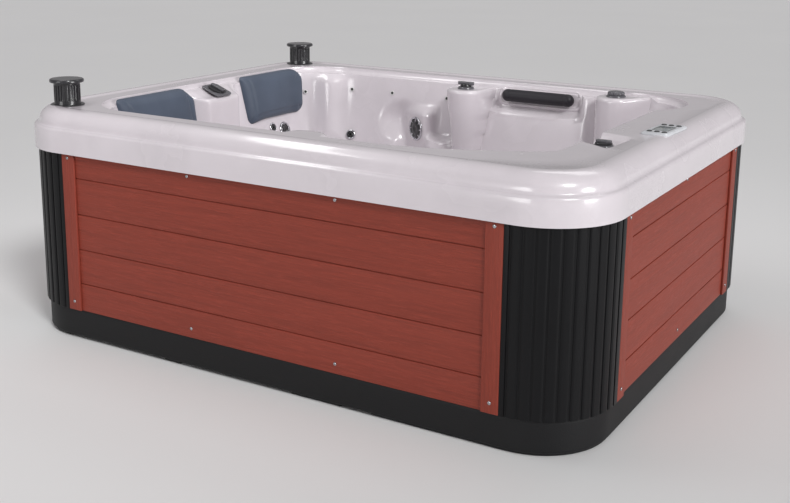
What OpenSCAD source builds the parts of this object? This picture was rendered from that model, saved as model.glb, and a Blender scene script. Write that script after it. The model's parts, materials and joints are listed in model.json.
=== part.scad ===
// Rectangular six-place hot tub: moulded shell, panelled cabinet, pillows, pop-up speakers and controls
// Millimetres, +Z up, origin under the middle of the base pan, +X towards the end with the control panel

/* [Overall] */
// Length over the rim
tub_l = 2150; // [2060:10:2240]
// Width over the rim
tub_w = 1700; // [1640:10:1780]
// Height of the rim's crest above the ground
rim_z = 797; // [780:1:830]
// How far the rim's skirt hangs below the crest
skirt_drop = 140; // [120:5:160]
// Plan radius of the rim's corners
rim_r = 229; // [210:1:245]
// Thickness of the moulded shell
wall_t = 8; // [6:0.5:9]

/* [Cabinet] */
// Height of the base pan
pan_h = 108; // [90:2:120]
// Thickness of the pan's upright wall
pan_wall = 10; // [8:1:12]
// Thickness of the side panels
panel_t = 12; // [8:1:16]
// Depth of the grooves that divide the panels into boards
groove_d = 4; // [2:0.5:6]
// Width of the batten beside each corner
batten_w = 55; // [46:1:66]
// Thickness of the battens
batten_t = 8; // [5:1:12]
// Ribs on each rounded corner cover
rib_count = 10; // [7:1:12]
// Head diameter of the cabinet screws
screw_head_d = 11; // [9:0.5:14]

/* [Frame] */
// Width of the uprights
post_w = 60; // [50:2:70]
// Depth of the uprights
post_d = 70; // [60:2:76]
// Height of the rails under the rim
rail_h = 44; // [36:2:56]

/* [Comfort] */
// Length of each head pillow along the wall
pillow_l = 393; // [340:1:420]
// Height of each head pillow
pillow_h = 198; // [160:2:204]
// Thickness of each head pillow
pillow_t = 44; // [30:1:56]
// Length of the round neck bolster
bolster_l = 306; // [260:2:340]
// Diameter of the round neck bolster
bolster_d = 50; // [40:1:56]

/* [Fittings] */
// Diameter of the pop-up speaker drum
speaker_d = 90; // [80:1:94]
// Diameter of the speaker's top cap
speaker_cap_d = 117; // [110:1:124]
// Height the raised speaker stands above the rim
speaker_up = 75; // [60:1:90]
// Face diameter of the large seat jets
jet_d = 69; // [60:1:74]
// Face diameter of the foot jet
foot_jet_d = 101; // [90:1:110]
// Face diameter of the small neck jets
small_jet_d = 42; // [36:1:48]
// Diameter of the air injectors
injector_d = 19; // [15:1:24]
// Side of the square diverter plate
diverter_w = 92; // [84:1:98]
// Diameter of the round valve knob
knob_d = 75; // [64:1:84]
// Length of the control panel
panel_l = 190; // [170:2:210]
// Width of the control panel
panel_w = 88; // [80:1:92]
// Diameter of the control panel's buttons
button_d = 15; // [12:0.5:17]
// How far a button can be pressed
button_travel = 1.2; // [0.8:0.1:1.6]

/* [Hidden] */

$fa = 6;
$fs = 1.5;
gap = 0.3;
eps = 0.01;

function lerp(a, b, t) = a + (b - a) * t;
function clamp(x, lo, hi) = max(lo, min(hi, x));
function ease(a, b, x) = let (t = clamp((x - a) / (b - a), 0, 1)) t * t * (3 - 2 * t);
function bell(x) = exp(-x * x);
function smin(a, b, k) = let (h = max(k - abs(a - b), 0) / k) min(a, b) - h * h * k / 4;
function smax(a, b, k) = -smin(-a, -b, k);
function unit(v) = v / norm(v);
function vsum(v, i = 0) = i == len(v) ? 0 : v[i] + vsum(v, i + 1);
function dip_arc(r, d) = r - sqrt(max(0, r * r - d * d));

// Main planes
hx = tub_l / 2;
hy = tub_w / 2;
skirt_z = rim_z - skirt_drop;
plat_z = rim_z - 4;
cab_x = hx - 7;
cab_y = hy - 8;
face_x = cab_x - batten_t;
face_y = cab_y - batten_t;
inner_x = face_x - panel_t;
inner_y = face_y - panel_t;
pan_floor = 17;
frame_x = inner_x - gap;
frame_y = inner_y - gap;
cab_z0 = pan_h + gap;
panel_top = skirt_z + 18;
cover_top = skirt_z - 3;
rail_top = plat_z - wall_t - gap;
rail_z = rail_top - rail_h;
rail_out = 70;
rail_in = 107;
cover_r = 230;
corner_x = cab_x - cover_r - 18;
corner_y = cab_y - cover_r - 30;

// Rays that sweep the moulded shell: each starts on a spine along X and runs outwards
spine = 330;
turn = 2.2;
function ray(th) = [spine * clamp(turn * cos(th), -1, 1), cos(th), sin(th)];
function rect_hit(u, xm, xp, ym, yp, r) =
    let (a = u[1] >= 0 ? xp - u[0] : xm + u[0], b = u[2] >= 0 ? yp : ym, c = abs(u[1]), s = abs(u[2]))
    c * b <= s * (a - r) ? b / s
    : s * a <= c * (b - r) ? a / c
    : let (d = c * (a - r) + s * (b - r), l2 = (a - r) * (a - r) + (b - r) * (b - r) - d * d)
        d + sqrt(max(0, r * r - l2));
function along(u, c) = u[1] * (c[0] - u[0]) + u[2] * c[1];
function aside(u, c) = u[1] * c[1] - u[2] * (c[0] - u[0]);
function circ_hit(u, c, r, side) =
    let (l = aside(u, c), d = along(u, c))
    d <= 0 || abs(l) >= r ? -side * 1e6 : d + side * sqrt(r * r - l * l);
function line_hit(u, n, d) =
    let (q = u[1] * n[0] + u[2] * n[1]) q > 1e-6 ? (d - n[0] * u[0]) / q : 1e6;
function near(u, c, w, e) = along(u, c) > 0 ? 1 - ease(w - e, w + e, abs(aside(u, c))) : 0;

// Plan of the opening, its bay at the back right corner and the cut across the front right corner
open_left = hx - 170;
open_right = hx - 247;
open_front = hy - 155;
open_back = hy - 148;
open_r = 230;
cut_n = [0.414, -0.910];
cut_d = 0.414 * open_right + 0.910 * open_front - 157;
bay_c = [hx - 382, hy - 345];
bay_r = 200;
lip_r = 25;

// Piers that stand between the seats: centre, top radius, foot radius, height
pier_lever = [[-24, hy - 278], 78, 44, rim_z - 26];
pier_round = [[588, hy - 222], 76, 76, rim_z - 12];
pier_front = [[25, 210 - hy], 80, 50, rim_z - 17];
piers = [pier_lever, pier_round, pier_front];
pier_foot_z = 430;
arm_c = [225 - hx, 0];
arm_w = 118;
arm_front = hx - 275;
arm_z = rim_z - 22;
arm_drop = 31;
fold_c = [340 - hx, hy - 210];
knob_c = [hx - 207, -250];
knob_dip = 22;
bolster_c = [257, open_back - 54];
bolster_z = rim_z - 49;
dish_c = [-362, rim_z - 205];
foot_jet_z = rim_z - 226;
step_c = [-165, hy - 210];
foot_pad = [-287, hy - 222];
foot_pad_n = [0.48, 0.877];
seat_fillet = 75;
drain_x = 40;
drain_z = 40.7;

function wall(u, i) =
    smin(smax(rect_hit(u, open_left - i, open_right - i, open_front - i, open_back - i, max(open_r - i, 90)),
              circ_hit(u, bay_c, bay_r - i, 1), 60),
         line_hit(u, cut_n, cut_d - i), 70);
function pier_r(p, z) =
    let (d = p[3] - z, r = lerp(p[1], p[2], min(1, d / (p[3] - pier_foot_z))))
    d < 14 ? r - dip_arc(14, 14 - d) : r;
function with_piers(u, a, z, k = 0) =
    k == len(piers) ? a
    : with_piers(u, z <= piers[k][3] ? smin(a, circ_hit(u, piers[k][0], pier_r(piers[k], z), -1), 16) : a, z, k + 1);
function with_arm(u, a, z, zt) =
    let (w = near(u, arm_c, arm_w, 26), d = zt - z,
         f = u[1] < -0.2 ? (arm_front + u[0]) / -u[1] : 1e6,
         g = d < 18 ? f + dip_arc(18, 18 - d) : f)
    lerp(a, min(a, g), w);
function shelf_pick(u, z, k = 0) =
    k == len(piers) ? z
    : shelf_pick(u, lerp(z, piers[k][3], near(u, piers[k][0], piers[k][1] + 14, 16)), k + 1);
function knob_drop(u) = knob_dip * near(u, knob_c, 68, 16);
function shelf_z(u) = lerp(shelf_pick(u, plat_z - lip_r), arm_z, near(u, arm_c, arm_w + 18, 26)) - knob_drop(u);
function shelf_drop(u) = arm_drop * near(u, arm_c, arm_w + 10, 20);
function lean(z) = let (t = (plat_z - lip_r - z) / 288) lip_r + (t < 0 ? 0 : 70 * t * (0.55 + 0.45 * t));
function face(u, z, zt) =
    let (a0 = wall(u, lean(z)), x = u[0] + u[1] * a0, d = plat_z - z,
         a1 = a0 - (along(u, fold_c) > 0 ? 44 * bell(aside(u, fold_c) / 62) * ease(0, 60, d) : 0),
         xb = x - bolster_c[0],
         bay = ease(-286, -236, xb) * (1 - ease(212, 262, xb)),
         win = (1 - ease(180, 216, abs(xb + 12))) * ease(rim_z - 115, rim_z - 99, z),
         a2 = u[2] > 0.3 ? a1 - 26 * bay * (1 - win) * ease(0, 34, d) : a1,
         q = pow((x - dish_c[0]) / 120, 2) + pow((z - dish_c[1]) / 100, 2),
         a3 = u[2] > 0.3 && q < 1 ? a2 + 44 * (1 - q) * (1 - q) : a2,
         a4 = u[2] > 0.3 ? a3 - 58 * near(u, step_c, 105, 26) * (1 - ease(rim_z - 264, rim_z - 238, z)) : a3)
    with_arm(u, with_piers(u, with_pad(u, a4, z), z), z, zt);

function with_pad(u, a, z) =
    let (w = near(u, foot_pad, 74, 16) * (1 - ease(60, 84, abs(z - foot_jet_z))))
    w > 0 ? lerp(a, line_hit(u, foot_pad_n, foot_pad_n * foot_pad), w) : a;

// Seats: where each one lies and how high it is, then the rises between them
seats = [[[-700, -380], 372], [[-700, 420], 372], [[-400, 600], 440], [[240, 600], 345], [[700, 500], 400],
         [[800, -100], 430], [[420, -560], 350], [[-330, -600], 360]];
rises = [[[-850, 0], 70], [[-735, 640], 60], [[-24, 572], 75], [[588, 628], 60], [[25, -640], 75], [[760, -500], 40]];
function seat_k(u, c) = along(u, c) > 0 ? bell(aside(u, c) / 260) : 0;
function seat_z(u) =
    let (ks = [for (s = seats) seat_k(u, s[0])], zs = [for (i = [0:len(seats) - 1]) ks[i] * seats[i][1]],
         hs = [for (c = rises) c[1] * near(u, c[0], 50, 42)])
    vsum(zs) / (vsum(ks) + 1e-9) + vsum(hs);

// Rim's section: how far in from the outer face, height against the crest
rim_pts = [[0, -skirt_drop], [0, -66], [5, -58.5], [16.5, -52], [18.5, -40], [27, -22], [45, -7], [68, -0.5], [94, -3]];
rim_in = 94;
well_l = 480;
well_rt = 440;
well_f = 330;
well_b = 300;
well_r = 130;
floor_z = 66;
floor_in = 72;
function lip_at(u, d) = wall(u, lip_r - sqrt(max(0, lip_r * lip_r - d * d)));
function section(u) =
    let (a0 = rect_hit(u, hx - rim_in, hx - rim_in, hy - rim_in, hy - rim_in, rim_r - rim_in), e0 = wall(u, 0),
         dip = knob_drop(u), land = a0 - e0, pz = plat_z - dip,
         zs = shelf_z(u), zf = zs - shelf_drop(u), aw = lip_at(u, min(lip_r, pz - zs)),
         af = face(u, zf - eps, zf), sz = seat_z(u), zb = sz + seat_fillet, ab = face(u, zb, zf),
         ae = min(rect_hit(u, well_l, well_rt, well_f, well_b, well_r), ab - 120))
    [for (p = rim_pts) [rect_hit(u, hx - p[0], hx - p[0], hy - p[0], hy - p[0], rim_r - p[0]), rim_z + p[1]],
     [e0 + min(116, 0.8 * land), plat_z],
     [e0 + min(100, 0.6 * land), pz],
     for (k = [0:2]) let (z = lerp(pz, zs, k / 2)) [lip_at(u, min(lip_r, pz - z)), z],
     for (t = [0.08, 0.92]) [lerp(aw, af, t), lerp(zs, zf, ease(0, 1, t)) - 1 - t],
     for (d = [4, 14]) [face(u, zf - d, zf), zf - d],
     for (k = [0:5]) let (z = lerp(zf - 32, zb, k / 5)) [face(u, z, zf), z],
     for (a = [30, 60, 90]) [ab - 70 * (1 - cos(a)), zb - seat_fillet * sin(a)],
     [ae + 35, sz],
     [ae + 10, sz - 10],
     [ae, sz - 35],
     [ae - 28, 112], [ae - 41, floor_z + 15], [ae - floor_in, floor_z]];

// Columns of the shell, spaced along the skirt and closer together where the wall is busy
busy = [[pier_lever[0], 96], [pier_round[0], 96], [pier_front[0], 100], [arm_c, 150], [foot_pad, 60], [knob_c, 84]];
cols = 80;
fine = 720;
function rim_at(th) = let (u = ray(th), t = rect_hit(u, hx - 80, hx - 80, hy - 80, hy - 80, rim_r - 80)) xy(u, t);
function xy(u, a) = [u[0] + u[1] * a, u[2] * a];
function xyz(u, p) = [u[0] + u[1] * p[0], u[2] * p[0], p[1]];
track = [for (k = [0:fine]) rim_at(k * 360 / fine)];
function dense(u, q) =
    let (cx = max(0, abs(q[0]) - (hx - rim_r)), cy = max(0, abs(q[1]) - (hy - rim_r)),
         corner = cx > 0 && cy > 0 ? 1 : 0, pads = [for (c = busy) near(u, c[0], c[1], 14)])
    1 + 0.5 * corner + 1.1 * max(pads);
steps = [for (k = [0:fine - 1]) norm(track[k + 1] - track[k]) * dense(ray((k + 0.5) * 360 / fine), track[k])];
run = [for (k = 0, s = 0; k <= fine; s = s + (k < fine ? steps[k] : 0), k = k + 1) s];
turns = [for (k = [0:fine]) [run[k], k * 360 / fine]];
rays = [for (k = [0:cols - 1]) ray(lookup(run[fine] * k / cols, turns))];
tops = [for (u = rays) section(u)];
nk = len(tops[0]);
fronts = [for (i = [0:cols - 1]) [for (p = tops[i]) xyz(rays[i], p)]];

// The back of the wall: rows taken over from the front, each moved out square to the surface by the wall
back_rows = [0, 1, 3, 5, 7, 9, 10, 12, 14, 18, 19, 20, 21, 22, 23, 24, 25, 26, 28, 30, 31, 32];
nb = len(back_rows);
function back_pt(i, j) =
    let (k = back_rows[j], f = fronts[i],
         down = f[back_rows[min(nb - 1, j + 1)]] - f[back_rows[max(0, j - 1)]],
         across = fronts[(i + 1) % cols][k] - fronts[(i + cols - 1) % cols][k])
    f[k] + wall_t * (k == nk - 1 ? [0, 0, -1] : unit(cross(down, across)));

// Places on the bathing wall, always in the middle of one facet
function wall_pt(i, z) =
    let (u = rays[i % cols], zs = shelf_z(u), zf = zs - shelf_drop(u)) xyz(u, [face(u, z, zf), z]);
wall_ids = [for (i = [0:cols - 1]) wall_pt(i, 600)];
function pick(i, z) =
    let (a = wall_pt(i, z - 20), b = wall_pt(i + 1, z - 20), c = wall_pt(i, z + 20), d = wall_pt(i + 1, z + 20),
         n = unit(cross(c - b, d - a)))
    [(a + b + c + d) / 4, n];
function mid_of(i) = (wall_ids[i] + wall_ids[(i + 1) % cols]) / 2;
function closest(ids, axis, v) =
    let (ds = [for (i = ids) abs(mid_of(i)[axis] - v)], m = min(ds)) [for (k = [0:len(ids) - 1]) if (ds[k] == m) ids[k]][0];
back_ids = [for (i = [0:cols - 1]) if (mid_of(i)[1] > hy - 330) i];
front_ids = [for (i = [0:cols - 1]) if (mid_of(i)[1] < 350 - hy) i];
left_ids = [for (i = [cols - 1:-1:0]) if (mid_of(i)[0] < 290 - hx && abs(mid_of(i)[1]) < hy - 270) i];
right_ids = [for (i = [0:cols - 1]) if (mid_of(i)[0] > hx - 340 && abs(mid_of(i)[1]) < hy - 350) i];
function on_back(x, z) = pick(closest(back_ids, 0, x), z);
function on_left(y, z) = pick(closest(left_ids, 1, y), z);
function on_front(x, z) = pick(closest(front_ids, 0, x), z);
function on_right(y, z) = pick(closest(right_ids, 1, y), z);
function basis(p, n) =
    let (z = unit(n), x = unit(cross([0, 0, 1], z)), y = cross(z, x))
    [[x[0], y[0], z[0], p[0]], [x[1], y[1], z[1], p[1]], [x[2], y[2], z[2], p[2]], [0, 0, 0, 1]];
module at(place) {
    multmatrix(basis(place[0], place[1])) children();
}

// Where every fitting goes
seat_jets = [on_left(450, 540), on_left(-330, 535), on_front(520, 560), on_right(180, 560)];
small_jet_places = [on_left(370, 560), on_left(-230, 560), on_back(-640, 515), on_back(300, 500), on_back(420, 500),
                    on_front(-400, 540), on_front(-520, 540)];
foot_jet_place = on_back(foot_pad[0], foot_jet_z);
injector_places = [on_back(-600, 706), on_back(-392, 706), on_back(-189, 706), on_left(600, 688), on_front(-640, 700),
                   on_front(-500, 700), on_front(330, 700), on_right(60, 700)];
speaker_x = 143 - hx;
speaker_y = hy - 154;
speaker_cap_h = 13;
speaker_rest = rim_z + speaker_up;
speaker_len = speaker_up + 110;
sleeve_t = 2.5;
sleeve_rim = 4;
sleeve_rim_d = speaker_d + 26;
collar_tube_d = 35.4;
// Depth of the flat seats cut into the back of the wall for the jet bodies
spot_face = 0.8;
// Flange of the foot jet's body, kept inside the flat fan that the jet sits in
foot_body_d = 66;
skim_x = -203;
skim_w = 160;
skim_h = 90;
skim_z = rim_z - 107;
panel_c = [hx - 93, -22];
panel_turn = -2.5;
panel_h = 8;
pocket_z = plat_z - 2;
button_h = 3;
diverter_tilt = atan(arm_drop / (open_left - lip_r - arm_front));
diverter_c = [47 - arm_front - 90, 0, arm_z - arm_drop * 0.42];

module shell_body() {
    m = nk + nb;
    pts = [for (i = [0:cols - 1]) each concat(fronts[i], [for (j = [nb - 1:-1:0]) back_pt(i, j)])];
    faces = [for (i = [0:cols - 1]) let (j = (i + 1) % cols) for (k = [0:m - 1]) if (k != nk - 1)
                let (l = (k + 1) % m) each [[i * m + k, i * m + l, j * m + l], [i * m + k, j * m + l, j * m + k]],
             [for (i = [cols - 1:-1:0]) i * m + nk - 1],
             [for (i = [0:cols - 1]) i * m + nk]];
    polyhedron(pts, faces, convexity = 10);
}

module tub_shell() {
    color("whitesmoke") difference() {
        shell_body();
        for (s = [-1, 1]) translate([speaker_x, s * speaker_y, plat_z]) {
            translate([0, 0, -30]) cylinder(d = speaker_d + 2 * sleeve_t + 6 * gap, h = 60, $fn = 24);
            cylinder(d = sleeve_rim_d + 4 * gap, h = 20, $fn = 36);
        }
        at_diverter() translate([0, 0, -60]) cylinder(d = 52, h = 90, $fn = 16);
        for (p = [pier_lever, pier_round]) translate([p[0][0], p[0][1], p[3] - 50])
            cylinder(d = collar_tube_d + 6 * gap, h = 80, $fn = 14);
        translate([knob_c[0], knob_c[1], plat_z - 60]) cylinder(d = collar_tube_d + 6 * gap, h = 70, $fn = 14);
        at_panel() translate([-panel_w / 2 - gap, -panel_l / 2 - gap, pocket_z]) cube([panel_w + 2 * gap, panel_l + 2 * gap, 20]);
        at_panel() translate([-38, -60, pocket_z - 20]) cube([24, 120, 30]);
        for (p = seat_jets) at(p) translate([0, 0, -20]) cylinder(d = 44 + 4 * gap, h = 40, $fn = 16);
        at(foot_jet_place) {
            translate([0, 0, -20]) cylinder(d = 60 + 4 * gap, h = 40, $fn = 18);
            translate([0, 0, face_lift - gap]) cylinder(d = foot_jet_d + 3, h = 20, $fn = 24);
        }
        for (p = small_jet_places) at(p) translate([0, 0, -20]) cylinder(d = 24 + 6 * gap, h = 40, $fn = 10);
        for (p = injector_places) at(p) translate([0, 0, -20]) cylinder(d = 13, h = 40, $fn = 6);
        translate([drain_x, 0, floor_z - 30]) cylinder(d = 40 + 4 * gap, h = 50, $fn = 16);
        translate([skim_x - skim_w / 2, -open_front - 60, skim_z - skim_h / 2]) cube([skim_w, 120, skim_h]);
        at_light() {
            translate([0, 0, -40]) cylinder(d = 60 + 6 * gap, h = 60, $fn = 18);
            cylinder(d = 84 + 6 * gap, h = 16, $fn = 24);
            back_seat(76);
        }
        for (s = [-1, 1]) at_suction(s) {
            translate([0, 0, -40]) cylinder(d = 50 + 6 * gap, h = 60, $fn = 16);
            cylinder(d = 100 + 6 * gap, h = 16, $fn = 24);
        }
        for (p = seat_jets) at(p) back_seat(62);
        at(foot_jet_place) back_seat(foot_body_d);
    }
}
function well_pt(i, z) =
    let (s = tops[i % cols], a = s[nk - 4], b = s[nk - 3]) xyz(rays[i % cols], lerp(a, b, (a[1] - z) / (a[1] - b[1])));
function on_well(i, z) =
    let (a = well_pt(i - 1, z - 20), b = well_pt(i + 1, z - 20), c = well_pt(i - 1, z + 20), d = well_pt(i + 1, z + 20))
    [(a + b + c + d) / 4, unit(cross(c - b, d - a))];
module back_seat(d) {
    translate([0, 0, -wall_t - 16]) cylinder(d = d + 6 * gap, h = 16 + spot_face, $fn = 24);
}
module at_light() {
    at(on_well(cols / 2, 220)) children();
}
module at_suction(s) {
    at(on_well(s > 0 ? 7 : cols - 7, 200)) children();
}
module at_diverter() {
    translate(diverter_c) rotate([0, diverter_tilt, 0]) children();
}
module at_panel() {
    translate([panel_c[0], panel_c[1], 0]) rotate([0, 0, panel_turn]) children();
}

// Upright places along the sides, shared by posts, screws and rails
long_posts = [-(corner_x - 11), -278, 278, corner_x - 11];
end_posts = [-(corner_y - 7), 0, corner_y - 7];
batten_mid = batten_w / 2;
low_screw_z = pan_h + 32;
high_screw_z = skirt_z - 13;
screw_rows = [low_screw_z, high_screw_z];
screw_bore = 5.6;
screw_d = 5;
screw_len = 30;

// A point on each side's screws: distance along the side, height, whether a batten lies under the head
function side_screws(edge, mids) =
    [for (z = screw_rows) each concat([for (s = [-1, 1]) [s * (edge - batten_mid), z, 1]], [for (m = mids) [m, z, 0]])];
long_screws = side_screws(corner_x, [-278, 278]);
end_screws = side_screws(corner_y, [0]);

module rounded_plate(x, y, r, h) {
    linear_extrude(h) rounded_rect(x, y, r);
}
module rounded_rect(x, y, r) {
    union() {
        square([2 * x, 2 * (y - r)], center = true);
        square([2 * (x - r), 2 * y], center = true);
        for (sx = [-1, 1]) for (sy = [-1, 1]) translate([sx * (x - r), sy * (y - r)]) circle(r = r);
    }
}
module rod(a, b, d) {
    v = b - a;
    l = norm(v);
    translate(a) rotate([0, acos(v[2] / l), atan2(v[1], v[0])]) cylinder(d = d, h = l);
}

module base_pan() {
    pan_x = cab_x - 10;
    pan_y = cab_y - 10;
    pan_r = 220;
    color("#2a2a2c") difference() {
        union() {
            rounded_plate(pan_x - 6, pan_y - 6, pan_r - 6, 10);
            translate([0, 0, 8]) rounded_plate(pan_x, pan_y, pan_r, pan_h - 8);
        }
        translate([0, 0, pan_floor]) rounded_plate(pan_x - pan_wall, pan_y - pan_wall, pan_r - pan_wall, pan_h);
        for (x = [-3:2]) for (s = [-1, 1]) translate([x * 340 + 42, s > 0 ? 24 : 24 - pan_y, -1])
            cube([256, pan_y - 60, 13]);
        for (n = [[-850, 450], [290, 110], [-340, 450]]) translate([n[0], -pan_y - 1, -1]) cube([n[1], 26, 10]);
        for (s = [-1, 1]) translate([s > 0 ? pan_x - 25 : -pan_x - 1, -225, -1]) cube([26, 450, 10]);
        drain_bore();
    }
}
module drain_bore() {
    translate([drain_x, cab_y, drain_z]) rotate([90, 0, 0]) cylinder(d = 34 + 2 * gap, h = 60, center = true);
}

module floor_pad() {
    color("#c9c2a8") difference() {
        translate([0, 0, pan_floor + gap])
            rounded_plate(well_l - floor_in - 30, well_b - floor_in - 30, 60, floor_z - wall_t - pan_floor - 2 * gap);
        translate([drain_x, 0, pan_floor]) cylinder(d = 70, h = 60);
        translate([drain_x - 18, 0, pan_floor - 1]) cube([36, well_b, 60]);
    }
}

module post(h) {
    translate([-post_w / 2, 0, pan_floor + gap]) cube([post_w, post_d, h]);
}
module on_front_side(s) {
    rotate([0, 0, s > 0 ? 0 : 180]) translate([0, -cab_y, 0]) children();
}
module on_end_side(s) {
    rotate([0, 0, s > 0 ? 90 : -90]) translate([0, -cab_x, 0]) children();
}
module screw_holes(list, from, len) {
    for (p = list) translate([p[0], from, p[1]]) rotate([-90, 0, 0]) cylinder(d = screw_bore, h = len);
}
post_h = rail_z - gap - pan_floor - gap;
module frame_posts() {
    color("burlywood") {
        for (s = [-1, 1]) on_front_side(s) difference() {
            for (x = long_posts) translate([x, cab_y - frame_y, 0]) post(post_h);
            screw_holes(long_screws, 0, 60);
        }
        for (s = [-1, 1]) on_end_side(s) difference() {
            for (y = end_posts) translate([y, cab_x - frame_x, 0]) post(post_h);
            screw_holes(end_screws, 0, 60);
        }
    }
}
end_rail = hy - 210;
rebate_w = 12;
rebate_h = 11;
module frame_rails() {
    color("burlywood") {
        for (s = [-1, 1]) on_front_side(s) translate([-(hx - 205), cab_y - hy + rail_out, rail_z])
            cube([2 * (hx - 205), rail_in - rail_out, rail_h]);
        for (s = [-1, 1]) on_end_side(s) difference() {
            translate([-end_rail, cab_x - hx + rail_out, rail_z]) cube([2 * end_rail, rail_in - rail_out, rail_h]);
            translate([-end_rail - 1, cab_x - hx + rail_in - rebate_w, rail_top - rebate_h])
                cube([2 * end_rail + 2, rebate_w + 1, rebate_h + 1]);
        }
    }
}

panel_lines = [98, 219.5, 342.5, 467];
module side_panel(half, list) {
    color("#7a3830") difference() {
        translate([-half, batten_t, cab_z0]) cube([2 * half, panel_t, panel_top - cab_z0]);
        for (z = panel_lines) translate([-half - 1, batten_t - 1, cab_z0 + z - 1.5]) cube([2 * half + 2, groove_d + 1, 3]);
        screw_holes(list, -1, 60);
    }
}
module front_panel() {
    on_front_side(1) side_panel(corner_x - gap, long_screws);
}
module back_panel() {
    on_front_side(-1) side_panel(corner_x - gap, long_screws);
}
module right_panel() {
    on_end_side(1) side_panel(corner_y - gap, end_screws);
}
module left_panel() {
    on_end_side(-1) side_panel(corner_y - gap, end_screws);
}

module batten_pair(edge, list) {
    difference() {
        for (s = [-1, 1]) translate([s * (edge - gap - batten_mid) - batten_mid, 0, cab_z0])
            cube([batten_w, batten_t - gap, cover_top - cab_z0]);
        screw_holes(list, -1, 30);
    }
}
module cabinet_battens() {
    color("#7a3830") {
        for (s = [-1, 1]) on_front_side(s) batten_pair(corner_x, long_screws);
        for (s = [-1, 1]) on_end_side(s) batten_pair(corner_y, end_screws);
    }
}

module corner_section() {
    depth = cab_y - inner_y;
    rib_step = 90 / rib_count;
    difference() {
        union() {
            intersection() {
                circle(r = cover_r);
                square(cover_r);
            }
            translate([-(cab_x - cover_r - corner_x), 0]) square([cab_x - cover_r - corner_x + 1, cover_r]);
            translate([0, -(cab_y - cover_r - corner_y)]) square([cover_r, cab_y - cover_r - corner_y + 1]);
        }
        circle(r = cover_r - depth);
        translate([-60, -60]) square([60 + cover_r - depth, 61]);
        translate([-60, -60]) square([61, 60 + cover_r - depth]);
        for (k = [0:rib_count]) rotate(k * rib_step) translate([cover_r - 4, -3]) square([8, 6]);
    }
}
module corner_covers() {
    color("#1f1f22") for (sx = [0, 1]) for (sy = [0, 1]) mirror([sx, 0, 0]) mirror([0, sy, 0])
        translate([cab_x - cover_r, cab_y - cover_r, cab_z0]) linear_extrude(cover_top - cab_z0) corner_section();
}

module screw(p) {
    translate([p[0], p[2] > 0 ? -gap : batten_t - gap, p[1]]) rotate([-90, 0, 0]) {
        translate([0, 0, -2]) cylinder(d1 = screw_head_d - 3, d2 = screw_head_d, h = 1);
        translate([0, 0, -1]) cylinder(d = screw_head_d, h = 1);
        translate([0, 0, -eps]) cylinder(d = screw_d, h = screw_len);
    }
}
module cabinet_screws() {
    color("silver") {
        for (s = [-1, 1]) on_front_side(s) for (p = long_screws) screw(p);
        for (s = [-1, 1]) on_end_side(s) for (p = end_screws) screw(p);
    }
}

// Head pillows follow the wall: the back lies on the shell's own facets
left_map = [for (i = left_ids) [wall_pt(i, 690)[1], i]];
function wall_run(f, z) =
    let (i = floor(f), a = wall_pt(i, z), b = wall_pt(i + 1, z)) lerp(a, b, f - i);
function wall_dir(f, z) =
    let (d = wall_run(f + 0.4, z) - wall_run(f - 0.4, z), e = wall_run(f, z + 12) - wall_run(f, z - 12)) unit(cross(e, d));
pillow_gap = 1.2;
pillow_z = rim_z - 6 - pillow_h / 2;
pillow_n = 16;
pillow_m = 10;
function pillow_grid(y0, y1) =
    let (f0 = lookup(y0, left_map), f1 = lookup(y1, left_map))
    [for (i = [0:pillow_n]) [for (j = [0:pillow_m])
        let (s = i / pillow_n * 2 - 1, t = j / pillow_m * 2 - 1,
             f = lerp(f0, f1, (sin(s * 90) * 0.7 + s * 0.3) / 2 + 0.5),
             v = sin(t * 90) * 0.7 + t * 0.3,
             z = pillow_z + v * pillow_h / 2 * (1 - 0.1 * pow(abs(s), 4)))
        [f, z, s, t]]];
module pillow(y0, y1) {
    g = pillow_grid(y0, y1);
    w = pillow_m + 1;
    total = (pillow_n + 1) * w;
    back = [for (c = g) for (p = c) wall_run(p[0], p[1]) + pillow_gap * wall_dir(p[0], p[1])];
    front = [for (c = g) for (p = c)
        let (e = 1 - pow(abs(p[2]), 6), h = 1 - pow(abs(p[3]), 6), crown = 1 - 0.18 * p[2] * p[2] - 0.18 * p[3] * p[3])
        wall_run(p[0], p[1]) + (pillow_gap + 5 + (pillow_t - 5) * sqrt(e * h) * crown) * wall_dir(p[0], p[1])];
    sides = concat([for (i = [0:pillow_n]) i * w], [for (j = [1:pillow_m]) pillow_n * w + j],
                   [for (i = [pillow_n - 1:-1:0]) i * w + pillow_m], [for (j = [pillow_m - 1:-1:1]) j]);
    n = len(sides);
    faces = [
        for (i = [0:pillow_n - 1]) for (j = [0:pillow_m - 1]) let (a = i * w + j, b = a + w, o = total)
            each [[a, b + 1, a + 1], [a, b, b + 1], [o + a, o + a + 1, o + b + 1], [o + a, o + b + 1, o + b]],
        for (k = [0:n - 1]) let (a = sides[k], b = sides[(k + 1) % n], o = total)
            each [[a, o + b, b], [a, o + a, o + b]]];
    color("#5a6475") polyhedron(concat(back, front), faces, convexity = 4);
}
pillow_front_y = 528 - hy;
pillow_back_y = hy - 471;
module pillow_front_left() {
    pillow(pillow_front_y - pillow_l / 2, pillow_front_y + pillow_l / 2);
}
module pillow_back_left() {
    pillow(pillow_back_y - pillow_l / 2, pillow_back_y + pillow_l / 2);
}
module bolster_pillow() {
    color("#2e2d32") translate([bolster_c[0], bolster_c[1], bolster_z]) rotate([0, 90, 0]) {
        cylinder(d = bolster_d, h = bolster_l - bolster_d, center = true);
        for (s = [-1, 1]) translate([0, 0, s * (bolster_l - bolster_d) / 2]) sphere(d = bolster_d);
    }
}

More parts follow.
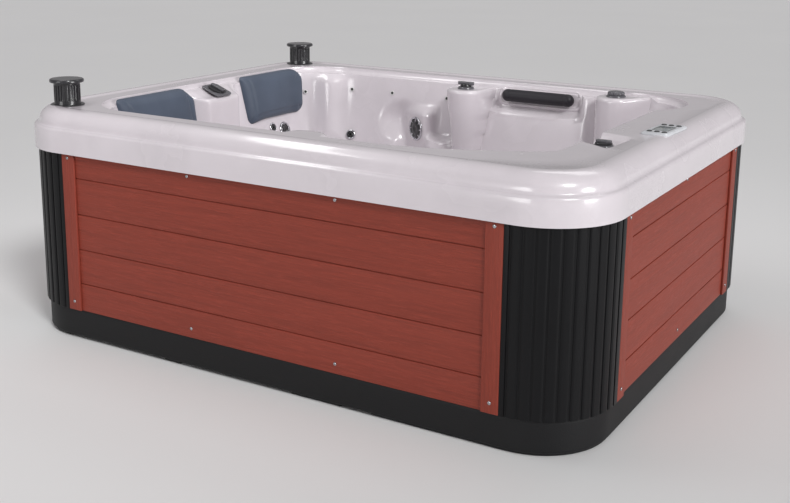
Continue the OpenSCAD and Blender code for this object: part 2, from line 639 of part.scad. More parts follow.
module speaker_sleeves() {
    color("#35333a") for (s = [-1, 1]) translate([speaker_x, s * speaker_y, 0]) difference() {
        union() {
            translate([0, 0, plat_z + gap]) cylinder(d = sleeve_rim_d, h = sleeve_rim);
            translate([0, 0, plat_z - 70]) cylinder(d = speaker_d + 2 * sleeve_t + 2 * gap, h = 71);
        }
        translate([0, 0, plat_z - 80]) cylinder(d = speaker_d + 2 * gap, h = 100);
    }
}
module speaker(s) {
    color("#1e1e20") translate([speaker_x, s * speaker_y, speaker_rest - gap - speaker_len]) difference() {
        cylinder(d = speaker_d, h = speaker_len);
        for (k = [0:23]) rotate([0, 0, k * 15]) translate([speaker_d / 2 - 3, -2, speaker_len - speaker_up + 14])
            cube([6, 4, speaker_up - 22]);
        translate([0, 0, -1]) cylinder(d = speaker_d - 16, h = 70);
    }
}
module speaker_cap(s) {
    r = speaker_cap_d / 2;
    color("#35333a") translate([speaker_x, s * speaker_y, speaker_rest]) rotate_extrude()
        polygon([[0, 0], [r - 2, 0], [r, 2], [r, speaker_cap_h - 5], [r - 1.5, speaker_cap_h - 2],
                 [r - 5, speaker_cap_h], [0, speaker_cap_h]]);
}
module speaker_front() {
    speaker(-1);
}
module speaker_back() {
    speaker(1);
}
module speaker_cap_front() {
    speaker_cap(-1);
}
module speaker_cap_back() {
    speaker_cap(1);
}

// Control panel: the screen in the middle, three buttons at each end
display_l = 74;
display_w = 50;
housing_z = pocket_z + gap;
housing_top = housing_z + panel_h + 2;
button_spots = [for (s = [-1, 1]) for (k = [-1:1]) [k * 24, s * (panel_l / 2 - 30)]];
module panel_housing() {
    color("silver") at_panel() difference() {
        union() {
            translate([0, 0, housing_z]) rounded_plate(panel_w / 2, panel_l / 2, 12, panel_h);
            translate([0, 0, housing_z + panel_h - 1]) rounded_plate(panel_w / 2 - 4, panel_l / 2 - 4, 10, 3);
            translate([-37, -58, housing_z - 16]) cube([22, 116, 18]);
        }
        translate([-display_w / 2 - gap, -display_l / 2 - gap, housing_top - 4]) cube([display_w + 2 * gap, display_l + 2 * gap, 9]);
        for (b = button_spots) translate([b[0], b[1], housing_top - 5]) cylinder(d = button_d + 2 * gap, h = 9);
    }
}
module panel_display() {
    color("#3a4048") at_panel() translate([-display_w / 2, -display_l / 2, housing_top - 4 + gap]) cube([display_w, display_l, 4]);
}
module panel_button(k) {
    b = button_spots[k];
    color("#1e1e20") at_panel() translate([b[0], b[1], housing_top - 5 + gap + button_travel])
        cylinder(d = button_d, h = 5 - gap - button_travel + 2.6);
}
module panel_button_1() {
    panel_button(0);
}
module panel_button_2() {
    panel_button(1);
}
module panel_button_3() {
    panel_button(2);
}
module panel_button_4() {
    panel_button(3);
}
module panel_button_5() {
    panel_button(4);
}
module panel_button_6() {
    panel_button(5);
}

// Valves on the arm and the piers
diverter_t = 7;
module diverter_plate() {
    color("#35333a") at_diverter() difference() {
        union() {
            rounded_plate(diverter_w / 2, diverter_w / 2, 14, diverter_t);
            translate([0, 0, -46]) cylinder(d = 51, h = 47);
        }
        translate([0, 0, -1]) cylinder(d = 20 + 2 * gap, h = 20);
    }
}
module diverter_knob() {
    color("#1e1e20") at_diverter() translate([0, 0, diverter_t + gap]) {
        translate([0, 0, -diverter_t]) cylinder(d = 20, h = diverter_t + 1);
        difference() {
            cylinder(d = 66, h = 14);
            translate([-40, 8, 5]) cube([80, 40, 10]);
            translate([-40, -48, 5]) cube([80, 40, 10]);
        }
    }
}
module collar(p, d, h) {
    translate([p[0], p[1], p[2] + gap]) difference() {
        union() {
            cylinder(d1 = d, d2 = d - 6, h = h);
            translate([0, 0, -44]) cylinder(d = collar_tube_d, h = 45);
        }
        translate([0, 0, -10]) cylinder(d = 16 + 2 * gap, h = h + 11);
    }
}
lever_c = [pier_lever[0][0], pier_lever[0][1], pier_lever[3]];
round_c = [pier_round[0][0], pier_round[0][1], pier_round[3]];
air_c = [knob_c[0], knob_c[1], plat_z - knob_dip];
collar_h = 8;
lever_l = 71;
module lever_collar() {
    color("#35333a") collar(lever_c, 66, collar_h);
}
module lever_handle() {
    color("#1e1e20") translate([lever_c[0], lever_c[1], lever_c[2] + collar_h + 2 * gap]) {
        translate([0, 0, -collar_h]) cylinder(d = 16, h = collar_h + 1);
        cylinder(d1 = 46, d2 = 38, h = 12);
        intersection() {
            translate([-lever_l / 2, -8, 4]) cube([lever_l, 16, 16]);
            cylinder(d = lever_l, h = 30);
        }
    }
}
module round_collar() {
    color("#35333a") collar(round_c, knob_d, 6);
}
module round_knob() {
    color("#1e1e20") translate([round_c[0], round_c[1], round_c[2] + 6 + 2 * gap]) {
        translate([0, 0, -6]) cylinder(d = 16, h = 7);
        difference() {
            rotate_extrude() polygon([[0, 0], [knob_d / 2 - 6, 0], [knob_d / 2 - 5, 10], [knob_d / 2 - 10, 15], [0, 16]]);
            for (k = [0:11]) rotate([0, 0, k * 30]) translate([knob_d / 2 - 3, 0, -1]) cylinder(d = 8, h = 20);
        }
    }
}
module air_collar() {
    color("#35333a") collar(air_c, 64, 5);
}
module air_knob() {
    color("#1e1e20") translate([air_c[0], air_c[1], air_c[2] + 5 + 2 * gap]) {
        translate([0, 0, -5]) cylinder(d = 16, h = 6);
        difference() {
            cylinder(d1 = 54, d2 = 48, h = 14);
            for (s = [-1, 1]) translate([-30, s > 0 ? 7 : -37, 5]) cube([60, 30, 12]);
        }
    }
}

// Jets: a ring in front of the wall, its neck through the hole and a body behind
face_t = 5;
face_lift = 0.8;
module jet_face(place, d, neck, n) {
    color("#d5d3d8") at(place) translate([0, 0, face_lift]) difference() {
        union() {
            cylinder(d1 = d, d2 = d - 5, h = face_t);
            translate([0, 0, -24]) cylinder(d = neck - 8, h = 25);
        }
        translate([0, 0, 2]) cylinder(d = d - 16, h = 5);
        translate([0, 0, -25]) cylinder(d = neck - 16, h = 12);
        for (k = [0:n - 1]) rotate([0, 0, k * 360 / n]) translate([(neck - 8) / 4, 0, -30]) cylinder(d = 8, h = 40);
    }
}
module jet_body(place, neck, d, l) {
    at(place) translate([0, 0, spot_face - wall_t - gap - l]) {
        difference() {
            union() {
                cylinder(d = max(d - 10, neck + 2), h = l);
                translate([0, 0, l - 8]) cylinder(d = d, h = 8);
                translate([0, 0, l]) cylinder(d = neck, h = wall_t - spot_face);
            }
            translate([0, 0, l - 18]) cylinder(d = neck - 8 + 2 * gap, h = 40);
        }
        for (s = [-1, 1]) translate([s * 13, 0, 12]) rotate([90, 0, 0]) cylinder(d = 20, h = (d - 10) / 2 + 14);
    }
}
module jet_bodies() {
    color("#4a4a4e") {
        for (p = seat_jets) jet_body(p, 44, 62, 58);
        jet_body(foot_jet_place, 60, foot_body_d, 60);
    }
}
module foot_jet_face() {
    jet_face(foot_jet_place, foot_jet_d, 60, 8);
}
module seat_jet_face_1() {
    jet_face(seat_jets[0], jet_d, 44, 4);
}
module seat_jet_face_2() {
    jet_face(seat_jets[1], jet_d, 44, 4);
}
module seat_jet_face_3() {
    jet_face(seat_jets[2], jet_d, 44, 4);
}
module seat_jet_face_4() {
    jet_face(seat_jets[3], jet_d, 44, 4);
}
module small_jets() {
    color("#d5d3d8") for (p = small_jet_places) at(p) translate([0, 0, face_lift]) difference() {
        union() {
            cylinder(d1 = small_jet_d, d2 = small_jet_d - 4, h = 4);
            translate([0, 0, -30]) cylinder(d = 24, h = 31);
        }
        translate([0, 0, 1]) cylinder(d = small_jet_d - 12, h = 5);
        translate([0, 0, -31]) cylinder(d = 8, h = 40);
    }
}
module air_injectors() {
    color("#d5d3d8") for (p = injector_places) at(p) translate([0, 0, face_lift]) difference() {
        union() {
            cylinder(d1 = injector_d, d2 = injector_d - 3, h = 3);
            translate([0, 0, -22]) cylinder(d = 10, h = 23);
        }
        translate([0, 0, -23]) cylinder(d = 4, h = 40);
    }
}

// Footwell fittings
module suction_covers() {
    color("#d5d3d8") for (s = [-1, 1]) at_suction(s) translate([0, 0, gap]) difference() {
        union() {
            cylinder(d1 = 100, d2 = 88, h = 10);
            translate([0, 0, -40]) cylinder(d = 50, h = 41);
        }
        for (k = [0:11]) rotate([0, 0, k * 30]) translate([26, -2, 4]) cube([18, 4, 10]);
        translate([0, 0, -41]) cylinder(d = 40, h = 46);
    }
}
module floor_drain() {
    color("#d5d3d8") translate([drain_x, 0, floor_z + gap]) difference() {
        union() {
            cylinder(d1 = 64, d2 = 58, h = 4);
            translate([0, 0, -34]) cylinder(d = 40, h = 35);
        }
        for (k = [0:7]) rotate([0, 0, k * 45]) translate([6, -2, -3]) cube([14, 4, 10]);
        translate([0, 0, -35]) cylinder(d = 32, h = 33);
    }
}
module light_body() {
    color("#4a4a4e") at_light() translate([0, 0, spot_face - wall_t - gap - 40]) difference() {
        union() {
            cylinder(d = 76, h = 40);
            cylinder(d = 60, h = 40 + wall_t - spot_face);
        }
        translate([0, 0, 8]) cylinder(d = 52, h = 60);
    }
}
module light_lens() {
    color("#e8eef2") at_light() translate([0, 0, gap]) difference() {
        union() {
            cylinder(d1 = 84, d2 = 74, h = 8);
            translate([0, 0, -16]) cylinder(d = 51.4, h = 17);
        }
        translate([0, 0, -17]) cylinder(d = 44, h = 18);
    }
}
skim_y = lean(skim_z) - open_front + 12;
skim_deep = 52;
weir_pin_d = 6;
weir_c = [skim_x, skim_y - 16, skim_z - skim_h / 2 + 9];
module skimmer_frame() {
    color("#d5d3d8") difference() {
        translate([skim_x - skim_w / 2 + gap, skim_y - skim_deep, skim_z - skim_h / 2 + gap])
            cube([skim_w - 2 * gap, skim_deep, skim_h - 2 * gap]);
        translate([skim_x - skim_w / 2 + 5, skim_y - skim_deep + 6, skim_z - skim_h / 2 + 5])
            cube([skim_w - 10, skim_deep, skim_h - 10]);
        translate([skim_x, skim_y - skim_deep, skim_z]) rotate([90, 0, 0]) cylinder(d = 60, h = 60, center = true);
        translate(weir_c) rotate([0, 90, 0]) cylinder(d = weir_pin_d + 2 * gap, h = skim_w - 3, center = true);
    }
}
module skimmer_weir() {
    color("#f2f2f2") translate(weir_c) {
        translate([-skim_w / 2 + 7, -2, 0]) cube([skim_w - 14, 4, skim_h - 32]);
        rotate([0, 90, 0]) cylinder(d = weir_pin_d, h = skim_w - 4, center = true);
    }
}
filter_d = 116;
filter_x = skim_x + 18;
module filter_canister() {
    y = skim_y - skim_deep - gap - filter_d / 2;
    color("#4a4a4e") {
        translate([filter_x, y, skim_z - 250]) cylinder(d = filter_d, h = 250);
    }
}

// Equipment on the pan's floor at the control-panel end
bay_z = pan_floor + gap;
pump_c = [hx - 375, hy - 600, bay_z + 95];
module pump_motor() {
    color("#3b5a7a") {
        translate(pump_c) rotate([-90, 0, 0]) cylinder(d = 150, h = 240, center = true);
        translate([pump_c[0] - 60, pump_c[1] - 80, bay_z]) cube([120, 160, 40]);
    }
}
module pump_wet_end() {
    color("#2f2f33") translate([pump_c[0], pump_c[1] - 120 - gap, pump_c[2]]) {
        rotate([90, 0, 0]) cylinder(d = 180, h = 80);
        rotate([90, 0, 0]) cylinder(d = 60, h = 110);
        translate([50, -40, 0]) cylinder(d = 60, h = 110);
    }
}
heater_z = pump_c[2] + 110 + gap + 32;
module heater() {
    color("silver") translate([pump_c[0] + 50, pump_c[1] - 160 - gap, heater_z]) {
        rotate([0, 90, 0]) cylinder(d = 56, h = 1, center = true);
        translate([0, 60, 0]) rotate([90, 0, 0]) cylinder(d = 60, h = 380);
        translate([0, -10, 20]) cube([60, 160, 30], center = true);
        translate([0, 0, -32]) cylinder(d = 50, h = 20);
    }
}
box_l = 300;
box_h = 225;
box_t = 85;
module control_box() {
    color("#8a8c90") translate([frame_x - post_d - 2 - box_t, -post_w / 2 - box_l, bay_z]) {
        cube([box_t, box_l, box_h]);
        translate([-8, 20, 30]) cube([9, box_l - 40, box_h - 55]);
    }
}
blower_d = 170;
module air_blower() {
    color("#2f2f33") translate([frame_x - post_d - 2 - blower_d / 2, hy - 520, bay_z]) {
        cylinder(d = blower_d, h = 150);
        translate([0, 0, 149]) cylinder(d = 120, h = 40);
        translate([-40, 0, 150]) cylinder(d = 50, h = 70);
    }
}

// Pipe loop under the seats
loop_d = 44;
loop_x = frame_x - post_d - gap - loop_d / 2;
loop_y = frame_y - post_d - gap - loop_d / 2;
loop_z = 272;
loop_r = 96;
socket = 6;
module water_pipes() {
    color("#e6e6e6") {
        for (s = [-1, 1]) translate([0, s * loop_y, loop_z]) rotate([0, 90, 0])
            cylinder(d = loop_d, h = 2 * (loop_x - loop_r + socket), center = true);
        for (s = [-1, 1]) translate([s * loop_x, 0, loop_z]) rotate([90, 0, 0])
            cylinder(d = loop_d, h = 2 * (loop_y - loop_r + socket), center = true);
        for (sx = [-1, 1]) for (sy = [-1, 1])
            translate([sx * (loop_x - loop_r), sy * (loop_y - loop_r), loop_z])
                rotate([0, 0, sx > 0 ? (sy > 0 ? 0 : -90) : (sy > 0 ? 90 : 180)])
                    rotate_extrude(angle = 90) translate([loop_r, 0]) circle(d = loop_d + 7);
    }
}
function loop_near(p) =
    abs(p[1]) / loop_y > abs(p[0]) / loop_x
    ? [clamp(p[0], -loop_x + loop_r, loop_x - loop_r), sign(p[1]) * loop_y, loop_z + loop_d / 2 + 10 + gap]
    : [sign(p[0]) * loop_x, clamp(p[1], -loop_y + loop_r, loop_y - loop_r), loop_z + loop_d / 2 + 10 + gap];
module hose(place, depth) {
    a = place[0] - depth * place[1];
    b = loop_near(a);
    sphere_at(a, 20);
    sphere_at(b, 20);
    rod(a, b, 18);
}
module sphere_at(p, d) {
    translate(p) sphere(d = d);
}
module jet_hoses() {
    color("#b8c0c8") for (p = small_jet_places) hose(p, 30 - face_lift + gap + 10);
}
module drain_pipe() {
    color("#e6e6e6") {
        translate([drain_x, 20 + gap, drain_z]) rotate([-90, 0, 0]) cylinder(d = 34, h = cab_y - 20);
        translate([drain_x, cab_y - 9, drain_z]) rotate([-90, 0, 0]) cylinder(d = 46, h = 9);
    }
}

tub_shell();
base_pan();
floor_pad();
frame_posts();
frame_rails();
front_panel();
back_panel();
left_panel();
right_panel();
cabinet_battens();
corner_covers();
cabinet_screws();
pillow_front_left();
pillow_back_left();
bolster_pillow();
speaker_sleeves();
speaker_front();
speaker_back();
speaker_cap_front();
speaker_cap_back();
panel_housing();
panel_display();
panel_button_1();
panel_button_2();
panel_button_3();
panel_button_4();
panel_button_5();
panel_button_6();
diverter_plate();
diverter_knob();
lever_collar();
lever_handle();
round_collar();
round_knob();
air_collar();
air_knob();
jet_bodies();
foot_jet_face();
seat_jet_face_1();
seat_jet_face_2();
seat_jet_face_3();
seat_jet_face_4();
small_jets();
air_injectors();
suction_covers();
floor_drain();
light_body();
light_lens();
skimmer_frame();
skimmer_weir();
filter_canister();
pump_motor();
pump_wet_end();
heater();
control_box();
air_blower();
water_pipes();
jet_hoses();
drain_pipe();
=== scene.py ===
"""Rectangular hot tub: moulded shell, panelled cabinet, pillows, speakers, valves and jets."""

import json
import math

import bmesh
import bpy
import numpy as np
from mathutils import Matrix, Vector


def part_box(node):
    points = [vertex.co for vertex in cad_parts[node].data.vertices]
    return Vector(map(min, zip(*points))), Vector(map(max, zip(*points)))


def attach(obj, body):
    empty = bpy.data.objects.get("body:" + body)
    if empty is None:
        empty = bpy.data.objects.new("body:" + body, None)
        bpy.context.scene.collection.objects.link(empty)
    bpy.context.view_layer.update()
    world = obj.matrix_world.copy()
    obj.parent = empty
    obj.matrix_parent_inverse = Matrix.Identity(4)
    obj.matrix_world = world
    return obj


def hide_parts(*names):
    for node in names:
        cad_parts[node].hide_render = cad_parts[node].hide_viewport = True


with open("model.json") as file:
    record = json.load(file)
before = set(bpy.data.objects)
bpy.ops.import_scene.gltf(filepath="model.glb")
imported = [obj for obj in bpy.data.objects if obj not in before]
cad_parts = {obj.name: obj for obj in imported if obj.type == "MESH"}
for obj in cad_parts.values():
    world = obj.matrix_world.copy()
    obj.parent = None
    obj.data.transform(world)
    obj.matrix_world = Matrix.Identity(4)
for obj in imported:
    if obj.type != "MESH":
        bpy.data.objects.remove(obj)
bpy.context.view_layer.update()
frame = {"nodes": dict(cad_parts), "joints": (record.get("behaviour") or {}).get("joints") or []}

bl_info = {
    "name": "Hot tub",
    "version": (1, 0, 0),
    "blender": (4, 5, 0),
    "location": "3D View > Sidebar > Hot tub",
    "description": "Dresses the packed hot tub with its shell, cabinet, pillows, valves and jets",
    "category": "Object",
}

MM = 0.001
# Clearance between seated pieces, as in the CAD, in millimetres
GAP = 0.3


# ---------------------------------------------------------------- materials


class Val:
    """A value in a material, so that shader maths reads as maths."""

    def __init__(self, coat, out):
        self.coat = coat
        self.out = out

    def do(self, kind, *args):
        """Adds the Math node of one operation."""
        return self.coat.add("ShaderNodeMath", {"operation": kind}, dict(enumerate(args)))

    def __add__(self, other):
        return self.do("ADD", self, other)

    def __sub__(self, other):
        return self.do("SUBTRACT", self, other)

    def __mul__(self, other):
        return self.do("MULTIPLY", self, other)

    def sine(self):
        return self.do("SINE", self)

    def span(self, low, high):
        """0 at low and 1 at high, held between them."""
        return self.coat.add(
            "ShaderNodeMapRange",
            {"clamp": True},
            {0: self, 1: low, 2: high, 3: 0.0, 4: 1.0},
        )

    __radd__ = __add__
    __rmul__ = __mul__


class Coat:
    """A procedural finish: one shader and the nodes that feed it."""

    def __init__(self, name):
        self.mat = bpy.data.materials.new(name)
        self.mat.use_nodes = True
        self.tree = self.mat.node_tree
        self.shader = self.tree.nodes["Principled BSDF"]
        self.where = self.add("ShaderNodeTexCoord", output="Object")

    def add(self, kind, settings=None, inputs=None, output=0):
        """Adds a node: its settings are set first, then the values or links of its sockets."""
        node = self.tree.nodes.new(kind)
        for key, value in (settings or {}).items():
            if key == "stops":
                ramp = node.color_ramp.elements
                while len(ramp) < len(value):
                    ramp.new(0.5)
                for stop, (at, colour) in zip(ramp, value):
                    stop.position = at
                    stop.color = colour
            else:
                setattr(node, key, value)
        for key, value in (inputs or {}).items():
            if isinstance(value, Val):
                self.tree.links.new(value.out, node.inputs[key])
            else:
                node.inputs[key].default_value = value
        return Val(self, node.outputs[output])

    def stretched(self, x, y, z):
        """Object coordinates, scaled along each axis."""
        return self.add("ShaderNodeMapping", {}, {"Vector": self.where, "Scale": (x, y, z)})

    def noise(self, scale, detail=4.0, rough=0.5, where=None):
        return self.add(
            "ShaderNodeTexNoise",
            {},
            {"Vector": where or self.where, "Scale": scale, "Detail": detail, "Roughness": rough},
        )

    def cells(self, scale, where=None):
        return self.add("ShaderNodeTexVoronoi", {}, {"Vector": where or self.where, "Scale": scale})

    def axis(self, name):
        """One axis of the object coordinates, by its letter."""
        return self.add("ShaderNodeSeparateXYZ", {}, {"Vector": self.where}, name)

    def blend(self, factor, low, high):
        """Mixes two colours: low where factor is 0, high where it is 1."""
        return self.add("ShaderNodeMix", {"data_type": "RGBA"}, {0: factor, 6: low, 7: high}, 2)

    def bump(self, height, strength, depth):
        return self.add(
            "ShaderNodeBump", {}, {"Strength": strength, "Distance": depth, "Height": height}
        )

    def finish(self, **sockets):
        """Sets or links the shader's sockets, named as in Python; shine is the specular level."""
        for key, value in sockets.items():
            name = "Specular IOR Level" if key == "shine" else key.replace("_", " ").title()
            sock = self.shader.inputs[name]
            if isinstance(value, Val):
                self.tree.links.new(value.out, sock)
            else:
                sock.default_value = value
        return self.mat


def tone(r, g, b, a=1.0):
    """A colour written as it is seen, 0 to 255, in the shader's own linear values."""
    seen = [c / 255 for c in (r, g, b)]
    linear = [c / 12.92 if c < 0.04045 else ((c + 0.055) / 1.055) ** 2.4 for c in seen]
    return (*linear, a)


def shade(colour, gain):
    """A lighter or darker version of a colour."""
    return tuple(min(0.9, c * gain) for c in colour[:3]) + (1.0,)


def pearl_acrylic():
    """Glossy acrylic with slow milky clouds, fine pearl flecks and a faint orange peel."""
    c = Coat("Pearl acrylic")
    colour = colours().shell
    cloud = c.noise(3.2, 3.0, 0.55)
    swirl = c.noise(11.0, 6.0, 0.6)
    fleck = c.noise(900.0, 2.0, 0.6).span(0.52, 0.74)
    base = c.blend(cloud.span(0.35, 0.65), colour, shade(colour, 0.93))
    base = c.blend(swirl.span(0.45, 0.7) * 0.35, base, shade(colour, 1.06))
    base = c.blend(fleck * 0.25, base, shade(colour, 1.16))
    peel = c.noise(160.0, 2.0, 0.5)
    return c.finish(
        base_color=base,
        roughness=0.24 + cloud * 0.06 - fleck * 0.04,
        normal=c.bump(peel, 0.10, 0.0006),
        coat_weight=0.8,
        coat_roughness=0.10,
    )


def board_plastic(name, upright):
    """Wood-grained board plastic: fine streaks and longer pores that run along the boards."""
    c = Coat(name)
    colour = colours().boards

    def grain(across, run):
        return c.stretched(across, across, run) if upright else c.stretched(run, run, across)

    fine = c.noise(1.0, 8.0, 0.62, grain(520, 9))
    broad = c.noise(1.0, 4.0, 0.55, grain(70, 2.4))
    pores = c.noise(1.0, 5.0, 0.7, grain(190, 16)).span(0.50, 0.72)
    patch = c.noise(2.2, 3.0, 0.5)
    mix = fine.span(0.32, 0.68) * 0.45 + broad.span(0.3, 0.7) * 0.35 + patch * 0.2
    base = c.blend(mix, shade(colour, 0.70), shade(colour, 1.22))
    base = c.blend(pores * 0.40, base, shade(colour, 1.6))
    return c.finish(
        base_color=base,
        roughness=0.44 + fine * 0.14 - pores * 0.06,
        normal=c.bump(fine * 0.6 + broad * 0.25 + pores * 0.5, 0.75, 0.0014),
        shine=0.3,
    )


def upright_plastic():
    """Black cover plastic with a faint upright grain and pale scuffs."""
    c = Coat("Cover plastic")
    colour = colours().covers
    fine = c.noise(1.0, 7.0, 0.6, c.stretched(420, 420, 7))
    patch = c.noise(3.0, 3.0, 0.5)
    scuff = c.noise(34.0, 6.0, 0.7).span(0.62, 0.78)
    base = c.blend(patch.span(0.3, 0.7), shade(colour, 0.85), shade(colour, 1.2))
    base = c.blend(scuff * 0.3, base, shade(colour, 3.0))
    return c.finish(
        base_color=base,
        roughness=0.36 + fine * 0.12 + scuff * 0.1,
        normal=c.bump(fine, 0.35, 0.0008),
        shine=0.2,
    )


def cast_plastic(
    name,
    colour,
    grain=320.0,
    rough=0.45,
    strength=0.25,
    depth=0.0005,
    coat=0.0,
    wear=0.25,
    shine=0.5,
):
    """Moulded plastic: fine spark grain, slow tone changes and a few pale rubs."""
    c = Coat(name)
    patch = c.noise(9.0, 3.0, 0.5)
    fine = c.noise(grain, 3.0, 0.6)
    rub = c.noise(60.0, 6.0, 0.75).span(0.60, 0.80)
    base = c.blend(patch.span(0.3, 0.7), shade(colour, 0.86), shade(colour, 1.14))
    base = c.blend(rub * wear, base, shade(colour, 1.8))
    return c.finish(
        base_color=base,
        roughness=rough + patch * 0.08 + rub * 0.06,
        normal=c.bump(fine, strength, depth),
        coat_weight=coat,
        shine=shine,
    )


def pillow_foam():
    """Skinned foam: fine leathery pores and slow tone changes."""
    c = Coat("Pillow skin")
    colour = colours().pillows
    pores = c.cells(1400.0)
    grain = c.noise(620.0, 4.0, 0.6)
    patch = c.noise(7.0, 3.0, 0.5)
    base = c.blend(patch.span(0.3, 0.7), shade(colour, 0.88), shade(colour, 1.12))
    base = c.blend(grain.span(0.55, 0.75) * 0.3, base, shade(colour, 1.4))
    return c.finish(
        base_color=base,
        roughness=0.46 + grain * 0.14,
        normal=c.bump(grain + pores * 0.4, 0.30, 0.0005),
        sheen_weight=0.05,
        shine=0.35,
    )


def bright_metal(name, colour, rough=0.16, brushed=0.25):
    """Plated or turned metal with a fine brushed line."""
    c = Coat(name)
    brush = c.noise(1.0, 5.0, 0.6, c.stretched(900, 900, 120))
    patch = c.noise(40.0, 3.0, 0.5)
    return c.finish(
        base_color=c.blend(patch.span(0.3, 0.7), colour, shade(colour, 0.82)),
        metallic=1.0,
        roughness=rough + brush * 0.12,
        normal=c.bump(brush, brushed, 0.0002),
    )


def screen_glass():
    """A grey display behind glass, with the faint lines of its cells."""
    c = Coat("Screen glass")
    line = (c.axis("Y") * 2600.0).sine() * 0.5 + 0.5
    patch = c.noise(14.0, 2.0, 0.5)
    base = c.blend(patch.span(0.3, 0.7), tone(150, 158, 160), tone(166, 173, 172))
    base = c.blend(line * 0.18, base, tone(120, 128, 130))
    return c.finish(base_color=base, roughness=0.14 + patch * 0.06, coat_weight=0.4)


def sawn_timber():
    """Sawn softwood: growth bands and fine fibres along the post."""
    c = Coat("Sawn timber")
    fine = c.noise(1.0, 6.0, 0.6, c.stretched(260, 260, 14))
    band = c.noise(1.0, 3.0, 0.5, c.stretched(30, 30, 3))
    base = c.blend(band.span(0.3, 0.7), tone(196, 162, 112), tone(168, 130, 84))
    base = c.blend(fine.span(0.5, 0.75) * 0.4, base, tone(136, 100, 62))
    return c.finish(base_color=base, roughness=0.62 + fine * 0.2, normal=c.bump(fine, 0.5, 0.001))


def pale_floor():
    """A matt pale floor with a hardly visible tone change."""
    c = Coat("Pale floor")
    patch = c.noise(0.6, 2.0, 0.5)
    base = c.blend(patch, tone(226, 226, 226), tone(230, 230, 230))
    return c.finish(base_color=base, roughness=0.9)


FINISH = {}


def finish(name):
    """Every finish is made once, when a piece first asks for it."""
    if name not in FINISH:
        FINISH[name] = RECIPES[name]()
    return FINISH[name]


RECIPES = {
    "floor": pale_floor,
    "pearl": pearl_acrylic,
    "resin": lambda: cast_plastic("Glass resin", tone(176, 168, 140), 70.0, 0.6, 0.8, 0.002),
    "board": lambda: board_plastic("Board plastic", False),
    "upright_board": lambda: board_plastic("Batten plastic", True),
    "cover": upright_plastic,
    "pan": lambda: cast_plastic(
        "Pan plastic", colours().covers, 240.0, 0.5, 0.5, 0.0012, shine=0.3
    ),
    "pillow": pillow_foam,
    "bolster": lambda: cast_plastic("Bolster skin", tone(40, 38, 43), 520.0, 0.42, 0.4, shine=0.35),
    "black": lambda: cast_plastic("Black trim", colours().trim, 380.0, 0.28, 0.15, 0.0003, 0.3),
    "cap": lambda: cast_plastic(
        "Speaker lid", shade(colours().trim, 1.5), 420.0, 0.24, 0.12, 0.0003, 0.5
    ),
    "smoke": lambda: cast_plastic("Smoke trim", colours().smoke, 300.0, 0.24, 0.12, 0.0003, 0.5),
    "chrome": lambda: bright_metal("Jet chrome", colours().metal, 0.10, 0.08),
    "steel": lambda: bright_metal("Screw steel", tone(190, 190, 193)),
    "silver": lambda: cast_plastic(
        "Panel silver", tone(204, 206, 210), 500.0, 0.34, 0.1, 0.0002, 0.3, 0.1
    ),
    "screen": screen_glass,
    "marks": lambda: cast_plastic("Printed marks", tone(92, 98, 104), 600.0, 0.4, 0.05, 0.0001),
    "white": lambda: cast_plastic(
        "White plastic", tone(216, 216, 214), 260.0, 0.42, 0.15, wear=0.1
    ),
    "timber": sawn_timber,
    "foam": lambda: cast_plastic("Foam", tone(198, 190, 160), 130.0, 0.85, 0.9, 0.002),
    "grey": lambda: cast_plastic("Grey plastic", tone(78, 78, 82), 260.0, 0.48, 0.3),
    "motor": lambda: cast_plastic("Motor paint", tone(56, 80, 108), 200.0, 0.4, 0.3, 0.0004, 0.3),
    "hose": lambda: cast_plastic("Hose rubber", tone(188, 194, 200), 420.0, 0.5, 0.3, wear=0.1),
    "lens": lambda: cast_plastic(
        "Lens plastic", tone(220, 228, 231), 90.0, 0.12, 0.4, 0.001, 0.6, 0.1
    ),
}


# ---------------------------------------------------------------- mesh tools


